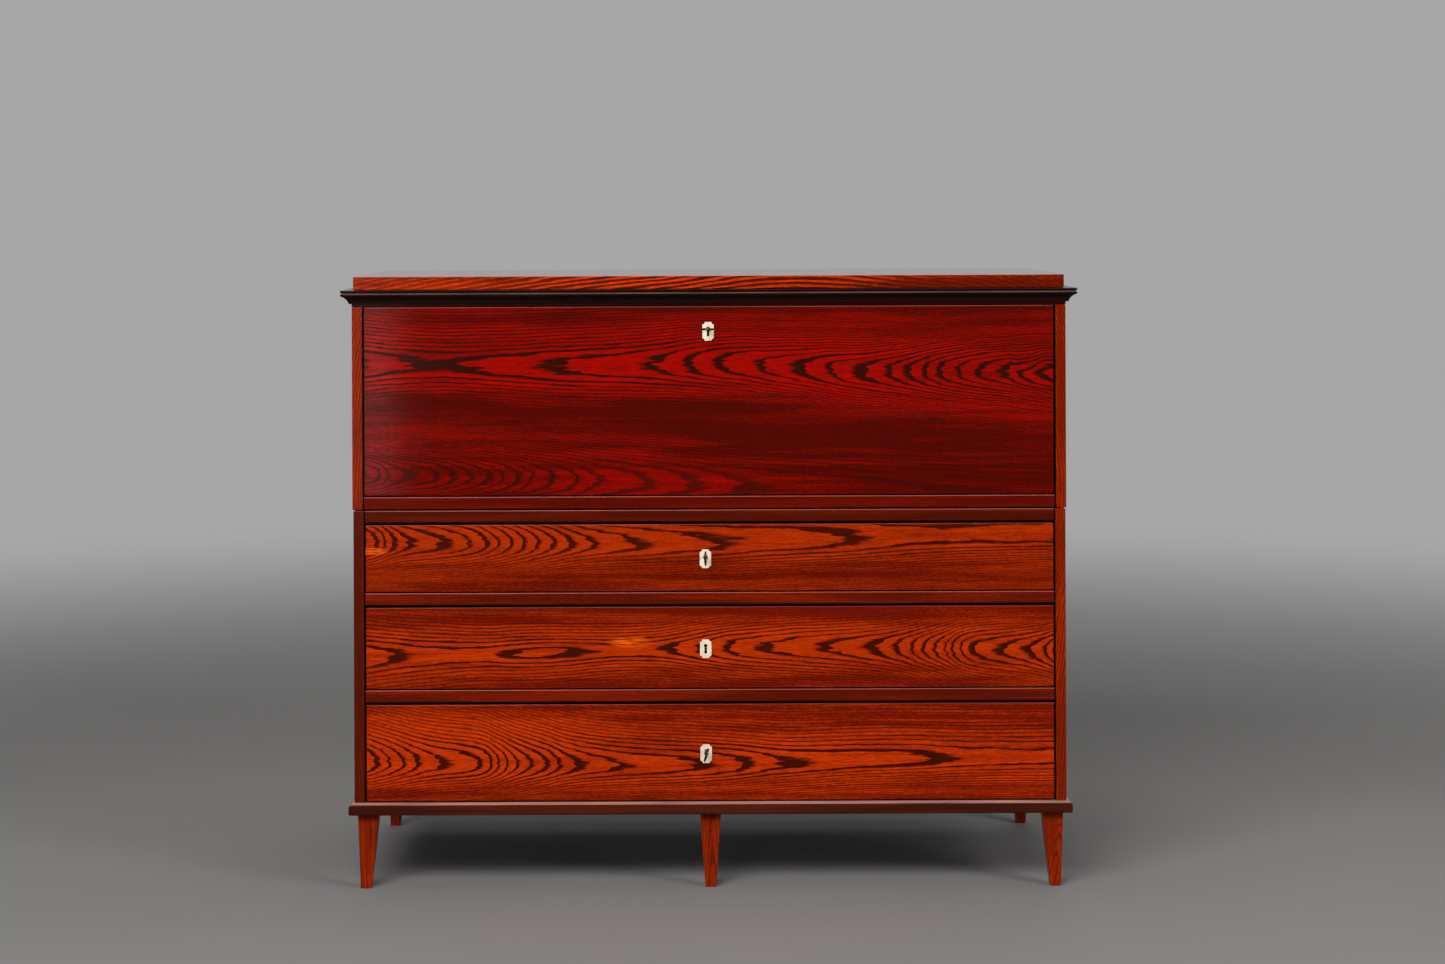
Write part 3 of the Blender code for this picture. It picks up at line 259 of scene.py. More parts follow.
def flat_sawn(wood, length, across, inward, heart, count, depth, ring=0.0034, power=2.4, above=1.0,
              reach=BOARD_REACH):
    """Ring number on a board sawn beside the heart of a stem. The heart line gives the height of the
    arches over each place along the board, and the count the ring that it cuts there: an arch
    closes wherever the count passes a whole number. Depth is how far the flanks of an arch stay
    blunt before they run out straight, one ring apart. The ring is one width or widths along, and
    above how close the rings lie over the heart line, against 1 under it."""
    if isinstance(ring, list):
        ring = wood.along(length, ring, *reach)
    offset = across - wood.along(length, heart, *reach)
    offset = abs(offset) * ((offset > 0.0) * (above - 1.0) + 1.0)
    blunt = wood.along(length, depth, *reach)
    flanks = (offset ** power + blunt ** power) ** (1 / power) - blunt
    return wood.along(length, count, *reach) + (flanks + inward) / ring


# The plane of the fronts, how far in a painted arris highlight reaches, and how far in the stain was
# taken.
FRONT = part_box("fall_front")[0].y
ARRIS_DEPTH = (FRONT + 0.0012, FRONT + 0.0026)
STAIN_DEPTH = (FRONT + 0.012, FRONT + 0.02)
# Pale painted highlight for the front top arrises.
PAINTED_ARRIS_HIGHLIGHT = (0.42, 0.105, 0.075)
RAW_LIGHT = (0.60, 0.40, 0.22)
RAW_DARK = (0.36, 0.20, 0.09)
# Near-black painted shade for the narrow gaps round the fronts.
PAINTED_GAP_SHADE = (0.006, 0.0028, 0.0022)
PORE_DEPTH = 0.00002


def stained_ash(wood, grain, rings, light, deep, dark, shade, seed=0.0, raw=None, arris=None, gap=None,
                highlight_strength=0.8, gloss=0.12, polish=0.05, wander=0.35, late=0.15, bold=1.0, calm=None):
    """Ash under stain and polish: open dark pores at each ring's start, ragged where they fade into
    clear wood. Shade runs from the light colour to the deep one, raw tells where neither stain nor
    polish was put on, calm where the pores are fainter (without it, where the shade is deep), gap
    where shade is painted into the narrow gaps round a front, and the arris is the height of a front
    top edge along which a pale highlight is painted."""
    slow = wood.noise(by_grain(grain, 4, 30), 2.0, seed)
    flames = wood.noise(by_grain(grain, 18, 165), 2.0, seed + 3)
    fibres = wood.noise(by_grain(grain, 50, 800), 2.0, seed + 5)
    lines = rings + (slow - 0.5) * wander + (flames - 0.5) * 0.65
    age = lines % 1.0
    luck = wood.node("ShaderNodeTexWhiteNoise", {"noise_dimensions": "1D"},
                     {"W": lines - age + seed}, "Value")
    width = luck * 0.24 + late
    pores = wood.between(age + (fibres - 0.5) * 0.5, width, width + 0.18, 1.0, 0.0) * (
        wood.between(age, 0.0, 0.04, 0.4, 1.0))
    cloud = wood.noise(by_grain(grain, 2.5, 14), 3.0, seed + 7)
    streaks = wood.noise(by_grain(grain, 5, 110), 3.0, seed + 9)
    grey = wood.between(fibres, 0.35, 0.68)
    strength = 0.95 - (shade if calm is None else calm) * 0.4
    stain = pores * strength * bold + (1.0 - pores) * grey * 0.42
    specks = wood.noise(by_grain(grain, 150, 420), 1.0, seed + 11)
    uneven = wood.between(cloud, 0.3, 0.7, -0.2, 0.2) + wood.between(streaks, 0.3, 0.7, -0.3, 0.3) + (
        wood.between(specks, 0.3, 0.7, -0.16, 0.16))
    body = wood.blend(shade + uneven, light, deep)
    colour = wood.blend(stain, body, dark)
    roughness = stain * 0.08 + gloss
    # Painted highlight: a pale line along the front top arris, where light would catch its rounding.
    if arris is not None:
        arris_highlight = wood.between(wood.z, arris - 0.0016, arris - 0.0008) * highlight_strength
        arris_highlight = arris_highlight * wood.between(wood.y, *ARRIS_DEPTH, 1.0, 0.0)
        colour = wood.blend(arris_highlight, colour, PAINTED_ARRIS_HIGHLIGHT)
    if raw is not None:
        bare = wood.blend(stain * 0.6 + cloud * 0.3, RAW_LIGHT, RAW_DARK)
        colour = wood.blend(raw, colour, bare)
        roughness = roughness + raw * 0.4
    # Painted shade: the narrow gaps round a front darkened nearly to black.
    if gap is not None:
        colour = wood.blend(gap, colour, PAINTED_GAP_SHADE)
    normal = wood.grooves(stain * -1.0, PORE_DEPTH)
    return wood.surface(colour, roughness, normal, specular_ior_level=polish)


def painted_gap_shade(wood, name, reach=0.0013):
    """Painted shade for the narrow gap round a front: a dark line along its ends and its foot, which
    is as high as the reach, and the first part of its top edge."""
    low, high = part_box(name)
    top = wood.between(wood.z, high.z - 0.0008, high.z - 0.0004) * (
        wood.between(wood.y, *ARRIS_DEPTH) * wood.between(wood.y, *STAIN_DEPTH, 1.0, 0.0))
    foot = wood.between(wood.z, low.z + reach, low.z + reach + 0.0007, 1.0, 0.0)
    ends = wood.between(abs(wood.x), high.x - 0.0018, high.x - 0.0012)
    return top * 0.85 + (foot + ends) * wood.between(wood.y, FRONT + 0.004, FRONT + 0.007, 1.0, 0.0)


flap = Finish("flap_ash")
inward = flap.y - FRONT
upper_rings = flat_sawn(
    flap, flap.x, flap.z, inward,
    heart=[(-0.575, 0.876), (-0.4, 0.874), (-0.25, 0.872), (-0.1, 0.874), (0, 0.876), (0.1, 0.871),
           (0.2, 0.865), (0.3, 0.86), (0.4, 0.861), (0.575, 0.856)],
    count=[(-0.62, 23.6), (-0.56, 24.5), (-0.5, 25), (-0.44, 25.22), (-0.396, 25), (-0.24, 24),
           (-0.0855, 23), (-0.03, 22), (0.0225, 21), (0.095, 20), (0.161, 19), (0.205, 18),
           (0.262, 17), (0.304, 16), (0.3375, 15), (0.363, 14), (0.389, 13), (0.42, 12), (0.455, 11),
           (0.5, 10), (0.523, 9), (0.565, 8)],
    depth=[(-0.62, 0.038), (-0.45, 0.026), (-0.25, 0.030), (-0.02, 0.034), (0.2, 0.036), (0.6, 0.033)],
    ring=[(-0.62, 0.0054), (-0.15, 0.0048), (0.15, 0.0035), (0.62, 0.0031)], power=2.6)
lower_rings = flat_sawn(
    flap, flap.x, flap.z, inward,
    heart=[(-0.575, 0.693), (-0.45, 0.69), (-0.3, 0.686), (-0.15, 0.68), (0, 0.674), (0.3, 0.66),
           (0.575, 0.65)],
    count=[(-0.62, 9.4), (-0.553, 11), (-0.5377, 12), (-0.511, 13), (-0.4614, 14), (-0.4321, 15),
           (-0.3737, 17), (-0.3234, 19), (-0.2669, 21), (-0.2269, 22), (-0.1925, 23), (-0.1163, 24),
           (-0.04, 25), (0.06, 26), (0.3, 26.8), (0.575, 27.4)],
    depth=[(-0.62, 0.027), (-0.4, 0.03), (-0.18, 0.05), (0.6, 0.069)], power=2.5)
joint = flap.z + flap.x * 0.075 > 0.772
rings = upper_rings * joint + lower_rings * (1.0 - joint)
rings = rings + flap.spot(0.53, 0.884, 0.03, 0.03) * 0.9
slant = flap.z + flap.x * 0.08 * flap.between(flap.z, 0.80, 0.84, 1.0, 0.0)
mood = flap.spot(0.45, 0.745, 0.5, 0.05) * 0.15 - flap.spot(-0.45, 0.745, 0.45, 0.045) * 0.3 + (
    flap.spot(0.55, 0.66, 0.42, 0.06) * 0.3) - flap.spot(-0.38, 0.685, 0.3, 0.045) * 0.15
shade = mood + flap.along(
    slant, [(0.64, 0.60), (0.675, 0.64), (0.70, 0.72), (0.73, 0.82), (0.765, 0.97), (0.79, 0.90),
            (0.81, 0.66), (0.835, 0.26), (0.86, 0.08), (0.885, 0.08), (0.91, 0.18), (0.935, 0.5),
            (0.96, 0.74), (0.98, 0.8)], 0.64, 0.98)
CRIMSON = (0.40, 0.0028, 0.0006)
DEEP_CRIMSON = (0.108, 0.0024, 0.0006)
FLAP_PORES = (0.034, 0.0042, 0.0020)
# The flap gets painted shade in its gaps and a painted highlight along its top arris.
nodes["fall_front"].material_slots[0].material = stained_ash(
    flap, "x", rings, CRIMSON, DEEP_CRIMSON, FLAP_PORES, shade, arris=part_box("fall_front")[1].z,
    gap=painted_gap_shade(flap, "fall_front"), highlight_strength=0.5, gloss=0.025, polish=0.08, bold=1.12)


# Drawer fronts: three boards of the same ash, stained a brighter orange red, each with its own
# arches. Their insides are bare, as the cabinet maker left them, and two boards have a bright flare
# beside a small knot.
DRAWER_STAIN = ((0.68, 0.0450, 0.0008), (0.235, 0.0084, 0.0006))
DRAWER_PORES = (0.054, 0.0048, 0.0010)
FLARE = (0.90, 0.115, 0.005)


def drawer_front(number, seed, gain, tone, knot, heart, count, depth, wander=0.35, bright=None,
                 **figure):
    """Tone gives the shade at shares of the height, knot the x, z and height of a flare, and bright
    a lighter spot as x, z and its two reaches."""
    name = f"drawer_{number}_front"
    wood = Finish(f"drawer_{number}_ash")
    rings = flat_sawn(wood, wood.x, wood.z, wood.y - FRONT, heart, count, depth, **figure)
    low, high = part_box(name)
    levels = [(low.z + share * (high.z - low.z), amount) for share, amount in tone]
    far = wood.along(wood.z, levels, low.z, high.z)
    calm = far
    if bright is not None:
        far = far - wood.spot(*bright) * 0.5
    bare = wood.between(wood.y, high.y - 0.0015, high.y - 0.0005)
    light, deep = [tuple(gain * c for c in stain) for stain in DRAWER_STAIN]
    # Each drawer front gets painted shade in its gaps and a painted highlight along its top arris.
    nodes[name].material_slots[0].material = stained_ash(
        wood, "x", rings, light, deep, DRAWER_PORES, far, raw=bare, seed=seed, arris=high.z,
        gap=painted_gap_shade(wood, name), highlight_strength=0.22, wander=wander, bold=1.1, polish=0.035, calm=calm)
    if knot is not None:
        x, z, reach = knot
        flare = wood.spot(x, z, reach * 4, reach)
        threads = wood.between(wood.noise((40, 1, 700), 2.0, seed), 0.35, 0.6)
        wood.paint_over(flare * threads, FLARE)


drawer_front(
    1, 3.0, 0.75,
    [(0.0, 0.72), (0.18, 0.78), (0.35, 0.62), (0.5, 0.35), (0.65, 0.18), (0.85, 0.1), (1.0, 0.3)],
    (-0.562, 0.5640, 0.008),
    heart=[(-0.575, 0.577), (-0.45, 0.5755), (-0.3, 0.574), (-0.1, 0.573), (0.1, 0.578),
           (0.236, 0.5807), (0.444, 0.587), (0.575, 0.589)],
    count=[(-0.62, 7.5), (-0.5575, 10), (-0.5282, 12), (-0.5037, 13), (-0.4511, 14), (-0.4041, 15),
           (-0.3552, 17), (-0.3108, 19), (-0.2631, 21), (-0.1992, 23), (-0.1258, 24), (0.006, 25),
           (0.225, 26), (0.31, 26.6), (0.4, 26.86), (0.5, 26.7), (0.575, 26.4)],
    depth=[(-0.62, 0.028), (-0.3, 0.024), (0, 0.03), (0.6, 0.02)], above=0.65)
drawer_front(
    2, 7.0, 0.86,
    [(0.0, 0.85), (0.15, 0.62), (0.3, 0.2), (0.5, 0.05), (0.65, 0.15), (0.8, 0.6), (0.9, 0.95),
     (1.0, 1.0)],
    (-0.134, 0.411, 0.011),
    heart=[(-0.575, 0.388), (-0.45, 0.39), (-0.3, 0.393), (-0.1, 0.399), (0.1, 0.402), (0.3, 0.4),
           (0.45, 0.397), (0.575, 0.394)],
    count=[(-0.62, 21.6), (-0.53, 23), (-0.46, 23.6), (-0.375, 23.5), (-0.33, 23),
           (-0.28, 22.8), (-0.235, 23), (-0.19, 23.5), (-0.145, 23.7), (-0.1, 23.45),
           (-0.06, 23), (-0.0075, 22), (0.0368, 21), (0.112, 20), (0.2041, 19), (0.2782, 18),
           (0.3158, 17), (0.3583, 15), (0.394, 13), (0.4196, 11), (0.4422, 10), (0.4918, 9),
           (0.5361, 8), (0.575, 6.2)],
    depth=[(-0.62, 0.028), (-0.45, 0.02), (-0.28, 0.012), (-0.12, 0.014), (0, 0.026), (0.2, 0.032),
           (0.6, 0.034)], ring=[(-0.62, 0.0056), (-0.2, 0.0050), (0.05, 0.0038), (0.62, 0.0035)],
    power=2.5, wander=0.5)
drawer_front(
    3, 11.0, 0.97,
    [(0.0, 0.75), (0.15, 0.4), (0.3, 0.12), (0.5, 0.08), (0.65, 0.3), (0.8, 0.7), (1.0, 0.85)],
    None,
    heart=[(-0.575, 0.212), (-0.45, 0.21), (-0.3, 0.208), (-0.1, 0.205), (0.1, 0.207), (0.3, 0.214),
           (0.575, 0.216)],
    count=[(-0.62, 5.5), (-0.5604, 8), (-0.5147, 10), (-0.4905, 11), (-0.4537, 12), (-0.3905, 13),
           (-0.3548, 15), (-0.3243, 17), (-0.2767, 19), (-0.2258, 21), (-0.157, 22), (-0.0232, 23),
           (0.0556, 24), (0.115, 25), (0.2, 25.5), (0.355, 26), (0.4, 26.42), (0.47, 26.68),
           (0.575, 26.8)],
    depth=[(-0.62, 0.03), (-0.3, 0.028), (0, 0.022), (0.6, 0.026)], above=0.7,
    bright=(-0.40, 0.262, 0.36, 0.045))


# Case boards: the sides stand with upright grain and show their edges beside the fronts, the rails
# and the case tops lie between them with the grain running across.
CASE_PORES = (0.055, 0.0058, 0.0014)


def case_board(name, grain, seed, light, deep, bare=None, spacing=0.0028, inner=None, tone=None,
               edge=None, tilt=0.0, foot=0.0013, figure=None, calm=None, **looks):
    """Bare, tone, figure and calm are worked out for the board's own finish. Inner is where a side's
    inner face lies, edge the two colours of its front edge, foot how high painted shade sits on a rail."""
    wood = Finish(name + "_ash")
    if grain == "z":
        rings = flat_sawn(wood, wood.z, wood.y, abs(wood.x) * -1.0 + 0.6,
                          [(0.0, 0.03), (0.4, 0.0), (0.7, 0.05), (1.0, 0.02)],
                          [(0.0, 14), (0.3, 21), (0.55, 25), (0.75, 23), (1.0, 17)],
                          [(0.0, 0.03), (1.0, 0.03)], ring=0.0052, reach=(0.0, 1.05))
        patches = wood.between(wood.noise((5, 5, 9), 2.0, seed + 2), 0.32, 0.68, -0.4, 0.3)
        shade = wood.between(abs(wood.y - 0.02), 0.05, 0.16) * 0.8 + patches
    else:
        bend = wood.noise((1.1, 1.1, 1.1), 1.0, seed)
        rings = (wood.z + wood.y * 0.35 + wood.x * tilt + bend * 0.05) / spacing
        shade = tone(wood) if tone is not None else (
            wood.between(wood.noise((2.6, 6, 60), 2.0, seed + 1), 0.36, 0.64))
    if figure is not None:
        rings = figure(wood, rings)
    # Painted shade in the gaps round the board's front; on a side, on its inner face next to the
    # fronts.
    gap = painted_gap_shade(wood, name, foot) if foot else None
    if inner is not None:
        gap = (abs(wood.x) < inner + 0.0010) * wood.between(wood.y, *STAIN_DEPTH, 1.0, 0.0)
    if edge is not None:
        front = wood.between(wood.y, FRONT + 0.002, FRONT + 0.006, 1.0, 0.0)
        light, deep = wood.blend(front, light, edge[0]), wood.blend(front, deep, edge[1])
    nodes[name].material_slots[0].material = stained_ash(
        wood, grain, rings, light, deep, CASE_PORES, shade, seed=seed, gap=gap,
        raw=None if bare is None else bare(wood), calm=None if calm is None else calm(wood), **looks)
    return wood


def side_inside(inner):
    """Bare wood from just behind the polished front edge, on the side's inner face."""
    return lambda wood: wood.between(wood.y, *STAIN_DEPTH) * (1.0 - (abs(wood.x) > inner + 0.014))


def behind_edge(wood):
    """Bare wood from a little way behind the polished front edge of a rail."""
    return wood.between(wood.y, FRONT + 0.020, FRONT + 0.026)


STILE = ((0.48, 0.029, 0.0010), (0.25, 0.0140, 0.0008))
DULL_STILE = ((0.175, 0.0125, 0.0010), (0.105, 0.0075, 0.0008))
RAIL = ((0.31, 0.0150, 0.0009), (0.125, 0.0070, 0.0008))
DULL_RAIL = ((0.17, 0.0100, 0.0010), (0.085, 0.0058, 0.0008))
CRIMSON_RAIL = ((0.22, 0.0050, 0.0009), (0.125, 0.0035, 0.0008))
for case, edge in (("lower_side_", DULL_STILE), ("upper_side_", None)):
    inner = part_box(case + "right")[0].x
    case_board(case + "left", "z", 21.0, *STILE, side_inside(inner), inner=inner, edge=edge, late=0.22)
    case_board(case + "right", "z", 22.0, *STILE, side_inside(inner), inner=inner, late=0.22)
# Rails: a painted highlight along the top arris and a painted shade line along the foot.
for seed, name, stain, foot in (
        (41.0, "drawer_rail_1", RAIL, 0.0026),
        (42.0, "drawer_rail_2", RAIL, 0.0026),
        (43.0, "lower_top_board", DULL_RAIL, 0.0024),
        (44.0, "upper_bottom_rail", CRIMSON_RAIL, 0.0013)):
    case_board(name, "x", seed, *stain, behind_edge, arris=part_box(name)[1].z, foot=foot, polish=0.035)
case_board("upper_case_top", "x", 47.0, (0.10, 0.009, 0.0015), (0.045, 0.005, 0.0015))


# Top board: its front edge is boldly striped in the middle, plainer to both ends and darker to the
# right. Its top face shows arches under a thicker polish that mirrors the room.
top_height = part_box("top_board")[1].z


def top_tone(wood):
    places = [(-0.62, 0.55), (-0.4, 0.35), (-0.2, 0.05), (0.1, 0.12), (0.35, 0.85), (0.62, 1.1)]
    return wood.along(wood.x, places, *BOARD_REACH)


def top_calm(wood):
    places = [(-0.62, 1.0), (-0.4, 0.6), (-0.15, 0.0), (0.2, 0.0), (0.42, 0.9), (0.62, 1.0)]
    return wood.along(wood.x, places, *BOARD_REACH)


def top_arches(wood, stripes):
    arches = flat_sawn(wood, wood.x, wood.y, wood.z * -1.0 + top_height,
                       [(-0.62, 0.06), (-0.2, 0.03), (0.2, 0.05), (0.62, 0.02)],
                       [(-0.62, 3), (-0.35, 11), (-0.1, 15), (0.12, 16.2), (0.3, 15), (0.62, 7)],
                       [(-0.62, 0.06), (0.0, 0.04), (0.62, 0.06)], ring=0.0075)
    top_face = wood.y > FRONT + 0.001
    return stripes * (1.0 - top_face) + arches * top_face


top = case_board("top_board", "x", 51.0, (0.80, 0.050, 0.0009), (0.185, 0.0088, 0.0008),
                 spacing=0.0062, foot=None, figure=top_arches, tone=top_tone, calm=top_calm, late=0.38,
                 tilt=-0.12, wander=0.8)
mirror = top.between(top.z, top_height - 0.0006, top_height - 0.0002)
top.tree.links.new(mirror.socket, top.shader.inputs["Coat Weight"])
top.shader.inputs["Coat Roughness"].default_value = 0.12


# Mouldings: the mitred cornice and the bevelled base board, of the same wood under a stain so dark
# that only its polish shows the shape, and a pale painted highlight line along each.
MOULDING_RING = 0.0026


def moulding(name, grain, seed, light, dark, highlight_from, highlight_to, highlight_colour):
    """Highlight colour is the colour of the painted highlight line, which runs between two depths under
    the upper edge.
    """
    wood = Finish(name + "_ash")
    rings = (wood.z + wood.y * 0.5 + abs(wood.x) * 0.2) / MOULDING_RING
    shade = wood.between(wood.noise(by_grain(grain, 2.5, 60), 2.0, seed), 0.3, 0.7)
    nodes[name].material_slots[0].material = stained_ash(
        wood, grain, rings, light, dark, dark, shade, seed=seed, bold=0.6)
    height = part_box(name)[1].z
    # Painted highlight: a pale line under the upper edge, where light catches the bead or bevel, broken
    # up by noise.
    line = wood.between(wood.z, height - highlight_from, height - highlight_from + 0.0006) * (
        wood.between(wood.z, height - highlight_to, height - highlight_to - 0.0006))
    highlight_strength = wood.noise(by_grain(grain, 9, 200), 2.0, seed + 1)
    wood.paint_over(line * wood.between(highlight_strength, 0.25, 0.6, 0.5, 1.0), highlight_colour)


# Cornice: light and dark colours, the two depths of its highlight line, and the painted highlight
# colour.
CORNICE = ((0.022, 0.0058, 0.0042), (0.0085, 0.0045, 0.0038), 0.0068, 0.0044, (0.15, 0.072, 0.064))
moulding("cornice_front", "x", 61.0, *CORNICE)
moulding("cornice_left", "y", 62.0, *CORNICE)
moulding("cornice_right", "y", 63.0, *CORNICE)
# Base board: the same, with the painted highlight on the upper part of its bevel.
moulding("base_board", "x", 64.0, (0.110, 0.0165, 0.0065), (0.045, 0.0080, 0.0040), 0.0036, -0.001,
         (0.42, 0.20, 0.165))


# Legs: five square tapered legs of stained ash with upright grain. The right front one was sawn
# aslant, so that arches climb across its face.
UPRIGHT = [(-0.02, 0.0), (0.15, 0.001)]
ASLANT = [(-0.02, -0.012), (0.06, 0.004), (0.15, 0.012)]
LEG_STAIN = ((0.44, 0.030, 0.0012), (0.19, 0.0115, 0.0010), (0.060, 0.0080, 0.0020))


def leg(name, seed, heart=UPRIGHT, count=6):
    wood = Finish(name + "_ash")
    low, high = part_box(name)
    middle = (low + high) / 2
    counts = [(-0.02, count - 2 + seed % 3), (0.06, count), (0.15, count + 2 * (count - 5))]
    rings = flat_sawn(wood, wood.z, wood.x - (middle.x + 0.003), wood.y - (middle.y - 0.03),
                      heart, counts, [(-0.02, 0.008), (0.15, 0.008)], reach=(-0.02, 0.15))
    shade = wood.noise((40, 40, 6), 2.0, seed) * 0.8
    nodes[name].material_slots[0].material = stained_ash(
        wood, "z", rings, *LEG_STAIN, shade, seed=seed, bold=0.85, polish=0.035)


for seed, name in enumerate(("leg_front_left", "leg_front_centre", "leg_back_left", "leg_back_right")):
    leg(name, 71.0 + seed)
leg("leg_front_right", 76.0, ASLANT, 9)


# Bare inside work: drawer boxes and bottoms, dust boards and backs, planed and never stained. The
# sides of a drawer box have their grain along them, and its back across.
BARE_LIGHT = (0.66, 0.45, 0.25)
BARE_DARK = (0.42, 0.24, 0.11)
BOX_BACK = FRONT + 0.4835


def bare_board(name, grain, seed, corner=None):
    """Corner is where a drawer box's back begins."""
    wood = Finish(name + "_bare")
    slow = wood.noise(by_grain(grain, 2, 14), 2.0, seed)
    lines = wood.noise(by_grain(grain, 5, 260), 3.0, seed + 1)
    if corner is not None:
        turned = wood.noise(by_grain("x", 5, 260), 3.0, seed + 1)
        share = wood.y > corner
        lines = lines * (1.0 - share) + turned * share
    tone = wood.between(lines, 0.3, 0.7) * 0.7 + slow * 0.5 - 0.1
    colour = wood.blend(tone, BARE_LIGHT, BARE_DARK)
    nodes[name].material_slots[0].material = wood.surface(
        colour, lines * 0.15 + 0.5, wood.grooves(lines, 0.00008), specular_ior_level=0.3)


for number in (1, 2, 3):
    bare_board(f"drawer_{number}_box", "y", 81.0 + number, BOX_BACK)
    bare_board(f"drawer_{number}_bottom", "x", 84.0 + number)
for seed, name in enumerate(("dust_board_1", "dust_board_2", "upper_floor_board", "lower_back_panel",
                             "upper_back_panel")):
    bare_board(name, "x", 91.0 + seed)


# Interior behind the flap: writing board, pigeonholes and small drawers in a lighter polished wood,
# whose fine straight grain lies across.
NEST_LIGHT = (0.50, 0.19, 0.060)
NEST_DARK = (0.22, 0.060, 0.018)


def nest_board(name, seed):
    wood = Finish(name + "_polished")
    slow = wood.noise((2, 14, 14), 2.0, seed)
    lines = wood.noise((7, 300, 300), 3.0, seed + 1)
    tone = wood.between(lines, 0.3, 0.7) * 0.6 + slow * 0.6 - 0.15
    colour = wood.blend(tone, NEST_LIGHT, NEST_DARK)
    nodes[name].material_slots[0].material = wood.surface(
        colour, lines * 0.12 + 0.28, wood.grooves(lines, 0.00005), specular_ior_level=0.3)


nest_board("interior_nest", 101.0)
for seed, place in enumerate(("left_bottom", "left_top", "right_bottom", "right_top")):
    nest_board("small_drawer_" + place, 102.0 + seed)


# Escutcheons: plates of bone with hollow corners, let in flush and yellowed with age. Fine streaks
# run across them.
bone = Finish("bone")
streaks = bone.noise((60, 60, 900), 2.0)
patches = bone.noise((70, 70, 70), 2.0)
age = bone.between(streaks * 0.5 + patches * 0.5, 0.35, 0.75)
bone_material = bone.surface(
    bone.blend(age, (0.96, 0.84, 0.66), (0.80, 0.62, 0.38)), patches * 0.2 + 0.3,
    bone.grooves(streaks, 0.00003))
for name in ("escutcheon_1", "escutcheon_2", "escutcheon_3", "flap_escutcheon"):
    nodes[name].material_slots[0].material = bone_material


# Ironwork: lock cases, bolts, stays and pivots of blackened wrought iron, a little brighter
# where it has worn.
iron = Finish("iron")
scale = iron.noise((300, 300, 300), 4.0)
wear = iron.between(iron.noise((60, 60, 60), 3.0), 0.45, 0.7)
iron_material = iron.surface(
    iron.blend(wear, (0.035, 0.032, 0.030), (0.15, 0.14, 0.13)), 0.55 - wear * 0.2,
    iron.grooves(scale, 0.0001), metallic=1.0)
for name in nodes:
    if name.startswith(("lock_", "bolt_", "flap_lock", "flap_bolt", "stay_", "pivot_")):
        nodes[name].material_slots[0].material = iron_material


# Keys: turned steel shanks with forged oval bows, darkened by age and with fine marks along them
# from handling.
steel = Finish("steel")
marks = steel.noise((900, 900, 120), 3.0)
steel_material = steel.surface(
    steel.blend(marks, (0.014, 0.013, 0.0125), (0.07, 0.067, 0.064)), marks * 0.25 + 0.22,
    steel.grooves(marks, 0.00003), metallic=1.0)
for name in ("key_1", "key_3", "flap_key"):
    nodes[name].material_slots[0].material = steel_material


# Fasteners: slotted screws at the corners of the four locks, and round nails along the edges of the
# two back panels. One node tree sets a head on each point, turned about its own axis by chance.
def fastener_tree():
    tree = bpy.data.node_groups.new("fasteners", "GeometryNodeTree")
    tree.interface.new_socket("Geometry", in_out="INPUT", socket_type="NodeSocketGeometry")
    for label in ("Radius", "Height", "Slot"):
        tree.interface.new_socket(label, in_out="INPUT", socket_type="NodeSocketFloat")
    tree.interface.new_socket("Material", in_out="INPUT", socket_type="NodeSocketMaterial")
    tree.interface.new_socket("Geometry", in_out="OUTPUT", socket_type="NodeSocketGeometry")

    def add(kind, links, **settings):
        node = tree.nodes.new(kind)
        for setting, value in settings.items():
            setattr(node, setting, value)
        for socket, value in links.items():
            if isinstance(value, bpy.types.NodeSocket):
                tree.links.new(value, node.inputs[socket])
            else:
                node.inputs[socket].default_value = value
        return node.outputs

    given = add("NodeGroupInput", {})
    disc = add("GeometryNodeMeshCylinder",
               {"Vertices": 20, "Radius": given["Radius"], "Depth": given["Height"]})
    length = add("ShaderNodeMath", {0: given["Radius"], 1: 3.0}, operation="MULTIPLY")[0]
    size = add("ShaderNodeCombineXYZ", {"X": length, "Y": given["Slot"], "Z": given["Height"]})[0]
    lift = add("ShaderNodeMath", {0: given["Height"], 1: 0.75}, operation="MULTIPLY")[0]
    raised = add("ShaderNodeCombineXYZ", {"Z": lift})[0]
    bar = add("GeometryNodeMeshCube", {"Size": size})
    cutter = add("GeometryNodeTransform", {"Geometry": bar["Mesh"], "Translation": raised})
    slotted = add("GeometryNodeMeshBoolean", {"Mesh 1": disc["Mesh"], "Mesh 2": cutter["Geometry"]},
                  operation="DIFFERENCE")
    head = add("GeometryNodeSwitch", {"Switch": given["Slot"], "False": disc["Mesh"],
                                      "True": slotted["Mesh"]}, input_type="GEOMETRY")
    chance = add("FunctionNodeRandomValue", {"Seed": 5}, data_type="FLOAT")[1]
    spin = add("ShaderNodeMath", {0: chance, 1: math.pi}, operation="MULTIPLY")[0]
    turn = add("ShaderNodeCombineXYZ", {"X": -math.pi / 2, "Y": spin})[0]
    placed = add("GeometryNodeInstanceOnPoints",
                 {"Points": given["Geometry"], "Instance": head["Output"], "Rotation": turn})
    real = add("GeometryNodeRealizeInstances", {"Geometry": placed["Instances"]})
    coated = add("GeometryNodeSetMaterial",
                 {"Geometry": real["Geometry"], "Material": given["Material"]})
    add("NodeGroupOutput", {"Geometry": coated["Geometry"]})
    return tree


FASTENERS = fastener_tree()


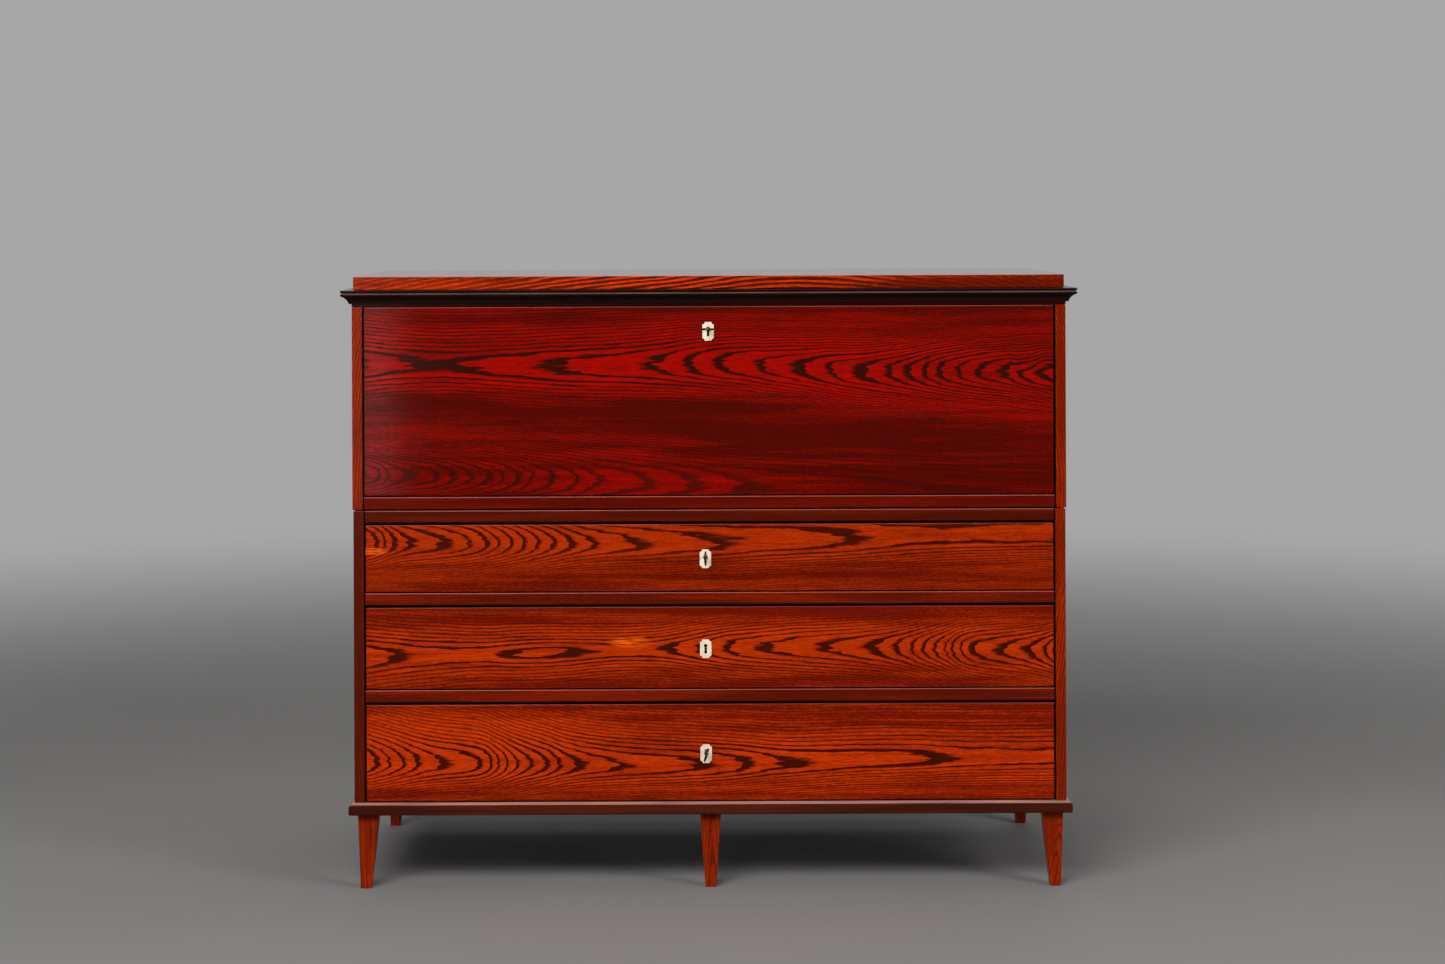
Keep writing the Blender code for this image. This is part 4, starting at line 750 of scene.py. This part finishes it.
def fasteners(name, body, points, radius, height, slot, material):
    """One mesh of heads, set half their height proud of the points and facing the back. A slot of no
    width leaves them plain."""
    seeds = bpy.data.meshes.new(name + "_points")
    seeds.from_pydata(points, [], [])
    carrier = bpy.data.objects.new(name + "_points", seeds)
    bpy.context.scene.collection.objects.link(carrier)
    modifier = carrier.modifiers.new("fasteners", "NODES")
    modifier.node_group = FASTENERS
    values = {"Radius": radius, "Height": height, "Slot": slot, "Material": material}
    for item in FASTENERS.interface.items_tree:
        if item.in_out == "INPUT" and item.name in values:
            modifier[item.identifier] = values[item.name]
    bpy.context.view_layer.update()
    evaluated = carrier.evaluated_get(bpy.context.evaluated_depsgraph_get())
    mesh = bpy.data.meshes.new_from_object(evaluated)
    mesh.name = name
    bpy.data.objects.remove(carrier)
    bpy.data.meshes.remove(seeds)
    piece = bpy.data.objects.new(name, mesh)
    bpy.context.scene.collection.objects.link(piece)
    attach(piece, body)


def even(start, end, steps):
    return [start + (end - start) * step / steps for step in range(steps + 1)]


for lock, body in (("lock_1", "drawer_1"), ("lock_2", "drawer_2"), ("lock_3", "drawer_3"),
                   ("flap_lock", "flap")):
    low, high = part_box(lock)
    corners = [(x, high.y, z) for x in even(low.x + 0.006, high.x - 0.006, 1)
               for z in even(low.z + 0.007, high.z - 0.007, 1)]
    fasteners(lock + "_screws", body, corners, radius=0.0033, height=0.0008, slot=0.0007,
              material=steel_material)
for panel, rows in (("lower_back_panel", 4), ("upper_back_panel", 3)):
    low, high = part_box(panel)
    across = even(low.x + 0.008, high.x - 0.008, 9)
    upward = even(low.z + 0.010, high.z - 0.010, rows)
    rim = [(x, high.y, z) for x in across for z in upward
           if x in (across[0], across[-1]) or z in (upward[0], upward[-1])]
    fasteners(panel + "_nails", "case", rim, radius=0.0028, height=0.0010, slot=0.0,
              material=iron_material)


# Floor finish: smooth pale grey near the piece, and the room's own colour further out, where no
# shadow reaches it. In the polish it is as dim behind the camera as the room is.
FLOOR_COLOUR = (0.245, 0.239, 0.234)
ground = Finish("floor")
mottle = ground.noise((1.3, 1.3, 1.3), 4.0)
darker, lighter = [tuple(strength * c for c in FLOOR_COLOUR) for strength in (0.92, 1.08)]
ground.surface(ground.blend(mottle, darker, lighter), 0.7, None, specular_ior_level=0.2)
camera_ray = ground.node("ShaderNodeLightPath", output="Is Camera Ray")
glossy_ray, transmission_ray = [Amount(ground, camera_ray.socket.node.outputs[kind])
                                for kind in ("Is Glossy Ray", "Is Transmission Ray")]
seen = camera_ray + glossy_ray + transmission_ray
dimmed = glossy_ray * ground.between(ground.y, -6.0, -3.0, 1.0, 0.0)
plain = ground.node("ShaderNodeEmission", {}, {
    "Color": ground.blend(dimmed, ROOM_COLOUR, tuple(0.13 * c for c in ROOM_COLOUR))}, "Emission")
distance = (ground.x * ground.x + ground.y * ground.y) ** 0.5
share = ground.between(distance, 1.6, 5.5) * seen
mixed = ground.node("ShaderNodeMixShader", {},
                    {0: share, 1: Amount(ground, ground.shader.outputs[0]), 2: plain}, "Shader")
ground.tree.links.new(mixed.socket, ground.tree.nodes["Material Output"].inputs["Surface"])
floor_mesh.materials.append(ground.material)
